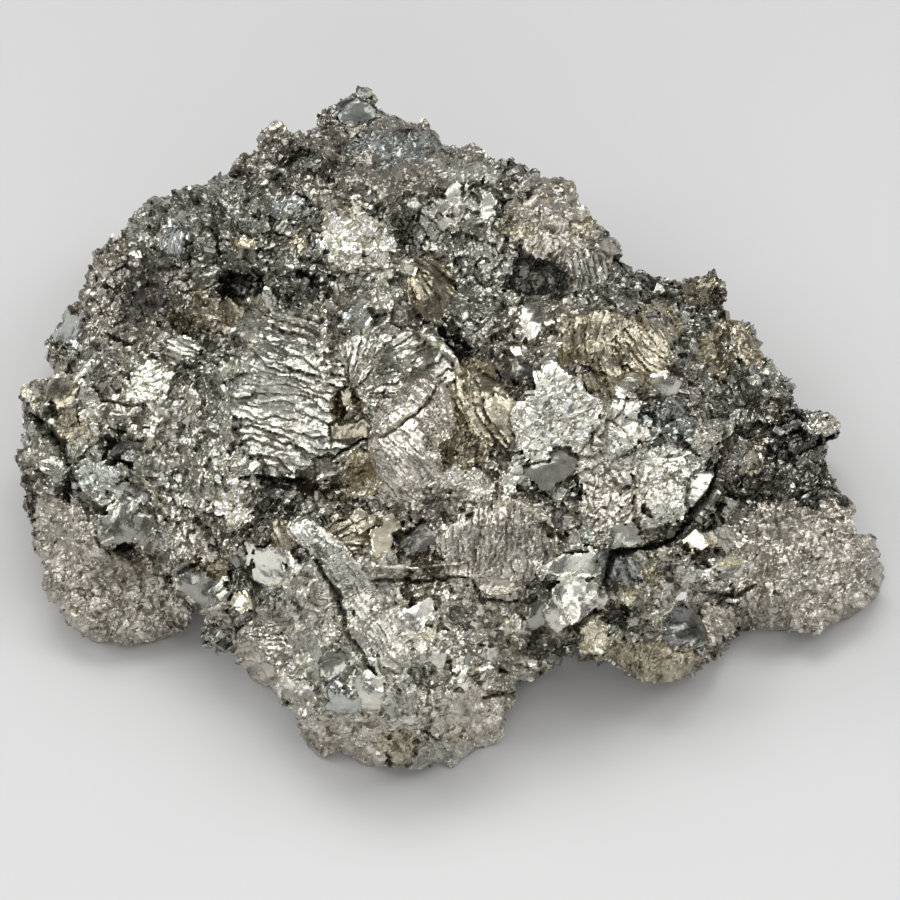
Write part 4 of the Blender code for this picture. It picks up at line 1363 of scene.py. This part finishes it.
@dataclass
class FlakeCrust:
    """Small loose-edged plates of crystal that stand off the blocky and granular skin.

    Args:
        base: The skin that they grow from.
        count: How many there are.
        corners: How many corners each has.
        smallest: The smallest half width, in mm.
        largest: The largest half width on blocky skin, in mm.
        largest_crumb: The largest half width on granular skin, in mm.
        crumb_share: How much thinner than on blocky skin they stand on granular skin.
        lean: How far they lean off the skin, in radians.
        seed: Which flakes.
    """

    base: CrystalSkin
    count: int = 1500
    corners: int = 5
    smallest: float = 0.05
    largest: float = 0.34
    largest_crumb: float = 0.13
    crumb_share: float = 0.35
    lean: float = 0.5
    seed: int = 5

    def places(self, rng: np.random.Generator) -> tuple:
        """Choose where the flakes stand.

        Returns:
            Their points, the skin's normals there, their colours and the skin's finish.
        """
        skin = self.base.skin
        kinds = self.base.kinds[skin.faces[:, 0]]
        normals = skin.crossings()
        areas = np.linalg.norm(normals, axis=1)
        middles = skin.points[skin.faces].mean(axis=1)
        wanted = (kinds >= 2) & (middles[:, 2] > 0.35 * MM)
        chance = areas * wanted * np.where(kinds == 3, self.crumb_share, 1.0)
        chosen = rng.choice(len(areas), size=self.count, p=chance / chance.sum())
        smooth = skin.normals()[skin.faces[chosen, 0]]
        return middles[chosen], smooth, self.base.colours[skin.faces[chosen, 0]], kinds[chosen]

    def build(self) -> list:
        """Make the flakes as one mesh.

        Returns:
            The object, in a list.
        """
        rng = np.random.default_rng(self.seed)
        middle, normal, colour, kind = self.places(rng)
        count, corners = self.count, self.corners
        largest = np.where(kind == 3, self.largest_crumb, self.largest)
        size = self.smallest + (largest - self.smallest) * rng.random(count) ** 3
        up = normal + self.lean * rng.normal(size=(count, 3)) * 0.7
        up /= np.linalg.norm(up, axis=1, keepdims=True)
        side = np.cross(up, rng.normal(size=(count, 3)))
        side /= np.linalg.norm(side, axis=1, keepdims=True)
        other = np.cross(up, side)
        angle = math.tau * (np.arange(corners)[None] + rng.uniform(-0.3, 0.3, (count, corners))) / corners
        radius = size[:, None] * rng.uniform(0.75, 1.2, (count, corners))
        stretch = rng.uniform(0.45, 1.0, count)[:, None]
        flat = (radius * np.cos(angle))[:, :, None] * side[:, None]
        flat = flat + (radius * np.sin(angle) * stretch)[:, :, None] * other[:, None]
        thick = size * rng.uniform(0.35, 0.8, count)
        rise = (up * (thick * 0.5)[:, None])[:, None]
        centre = (middle / MM + normal * (0.05 * size)[:, None])[:, None]
        rings = np.concatenate((centre + 0.82 * flat + rise, centre + flat - rise), axis=1)
        points = rings.reshape(-1, 3) * MM
        points[:, 2] = np.maximum(points[:, 2], 0.00002)
        skin = Skin(points, self.faces())
        bright = rng.uniform(0.8, 1.25, (count, 1))
        colours = np.repeat(np.clip(colour * bright + 0.05, 0.05, 0.97), 2 * corners, axis=0)
        finish = np.full(len(skin.faces), 0)
        made = skin.make_object("crystal_flakes", np.arange(len(skin.faces)), colours, finish,
                                [BLOCK_FINISH.make()], 20.0)
        return [made]

    def faces(self) -> Array:
        """List the triangles of every flake."""
        corners = self.corners
        one = []
        for corner in range(1, corners - 1):
            one += [(0, corner, corner + 1), (corners, corners + corner + 1, corners + corner)]
        for corner in range(corners):
            after = (corner + 1) % corners
            one += [(corner, corners + corner, corners + after), (corner, corners + after, after)]
        starts = np.arange(self.count)[:, None, None] * 2 * corners
        return (np.array(one)[None] + starts).reshape(-1, 3)


@dataclass
class Studio:
    """The plain floor and the soft lights.

    Args:
        floor_side: The floor's side in metres.
        floor_tones: The floor's tone behind the piece and before it; the change from one to the other is painted
            light, lighter towards the front.
        gradient_reach: How far before and behind the piece those tones are reached, in metres.
        sky: How bright the room is at its walls.
        ceiling: How bright it is overhead.
    """

    floor_side: float = 3.0
    floor_tones: tuple = (0.61, 0.72)
    gradient_reach: float = 0.03
    sky: float = 0.1
    ceiling: float = 0.75

    def build(self) -> None:
        """Make the floor, the lights and the room around them."""
        self.make_floor()
        self.make_room()
        self.make_light("back_light", 0, 62, 0.6, (0.5, 0.26), 3.6)
        self.make_light("left_light", -80, 36, 0.6, (0.36, 0.26), 3.6)
        self.make_light("right_light", 75, 40, 0.6, (0.3, 0.26), 2.8)
        self.make_light("front_light", 180, 24, 0.6, (0.5, 0.2), 2.2)

    def make_floor(self) -> None:
        """Make the plain pale floor, with painted light that makes it a little lighter towards the front."""
        bpy.ops.mesh.primitive_plane_add(size=self.floor_side, location=(0.0, 0.0, 0.0))
        floor = bpy.context.object
        floor.name = "floor"
        material = bpy.data.materials.new("plain_floor")
        material.use_nodes = True
        nodes, links = material.node_tree.nodes, material.node_tree.links
        shader = nodes["Principled BSDF"]
        place = nodes.new("ShaderNodeTexCoord")
        split = nodes.new("ShaderNodeSeparateXYZ")
        links.new(place.outputs["Object"], split.inputs["Vector"])
        tone = nodes.new("ShaderNodeMapRange")
        tone.inputs["From Min"].default_value = self.gradient_reach
        tone.inputs["From Max"].default_value = -self.gradient_reach
        tone.inputs["To Min"].default_value = self.floor_tones[0]
        tone.inputs["To Max"].default_value = self.floor_tones[1]
        links.new(split.outputs["Y"], tone.inputs["Value"])
        links.new(tone.outputs["Result"], shader.inputs["Base Color"])
        shader.inputs["Roughness"].default_value = 0.85
        shader.inputs["Specular IOR Level"].default_value = 0.2
        floor.data.materials.append(material)

    def make_room(self) -> None:
        """Make the room: dim walls and a soft bright ceiling."""
        world = bpy.data.worlds.new("room")
        world.use_nodes = True
        nodes, links = world.node_tree.nodes, world.node_tree.links
        place = nodes.new("ShaderNodeTexCoord")
        split = nodes.new("ShaderNodeSeparateXYZ")
        links.new(place.outputs["Generated"], split.inputs["Vector"])
        glow = nodes.new("ShaderNodeMapRange")
        glow.interpolation_type = "SMOOTHSTEP"
        glow.inputs["From Min"].default_value = 0.35
        glow.inputs["From Max"].default_value = 1.0
        glow.inputs["To Min"].default_value = self.sky
        glow.inputs["To Max"].default_value = self.ceiling
        links.new(split.outputs["Z"], glow.inputs["Value"])
        links.new(glow.outputs["Result"], nodes["Background"].inputs["Strength"])
        nodes["Background"].inputs["Color"].default_value = (1.0, 1.0, 1.0, 1.0)
        bpy.context.scene.world = world

    @staticmethod
    def make_light(name: str, azimuth: float, elevation: float, distance: float, size: tuple,
                   brightness: float) -> None:
        """Make a soft light that faces the piece.

        Args:
            name: Its name.
            azimuth: Which side it stands on, in degrees: 0 is behind the piece and 90 right of it.
            elevation: How high it stands, in degrees.
            distance: How far away it is, in metres.
            size: Its width and height in metres.
            brightness: How bright its face is; 1 is the white of the picture.
        """
        data = bpy.data.lights.new(name, "AREA")
        data.shape = "RECTANGLE"
        data.size, data.size_y = size
        data.energy = brightness * size[0] * size[1] * math.pi
        light = bpy.data.objects.new(name, data)
        side, high = math.radians(azimuth), math.radians(elevation)
        way = Vector((math.sin(side) * math.cos(high), math.cos(side) * math.cos(high), math.sin(high)))
        light.location = way * distance
        light.rotation_mode = "QUATERNION"
        light.rotation_quaternion = way.to_track_quat("Z", "Y")
        bpy.context.scene.collection.objects.link(light)


def main() -> None:
    """Build and dress the piece, and light it."""
    logging.basicConfig(level=logging.INFO, format="%(name)s: %(message)s")
    bpy.context.scene.view_settings.view_transform = "Standard"
    view = PhotoView()
    view.make_camera()
    skin = CrystalSkin(view)
    for piece in skin.build() + FlakeCrust(skin).build():
        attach(piece, BODY)
        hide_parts(NODE)
        log.info("%s has %d triangles", piece.name, len(piece.data.polygons))
    Studio().build()


if __name__ == "__main__":
    main()
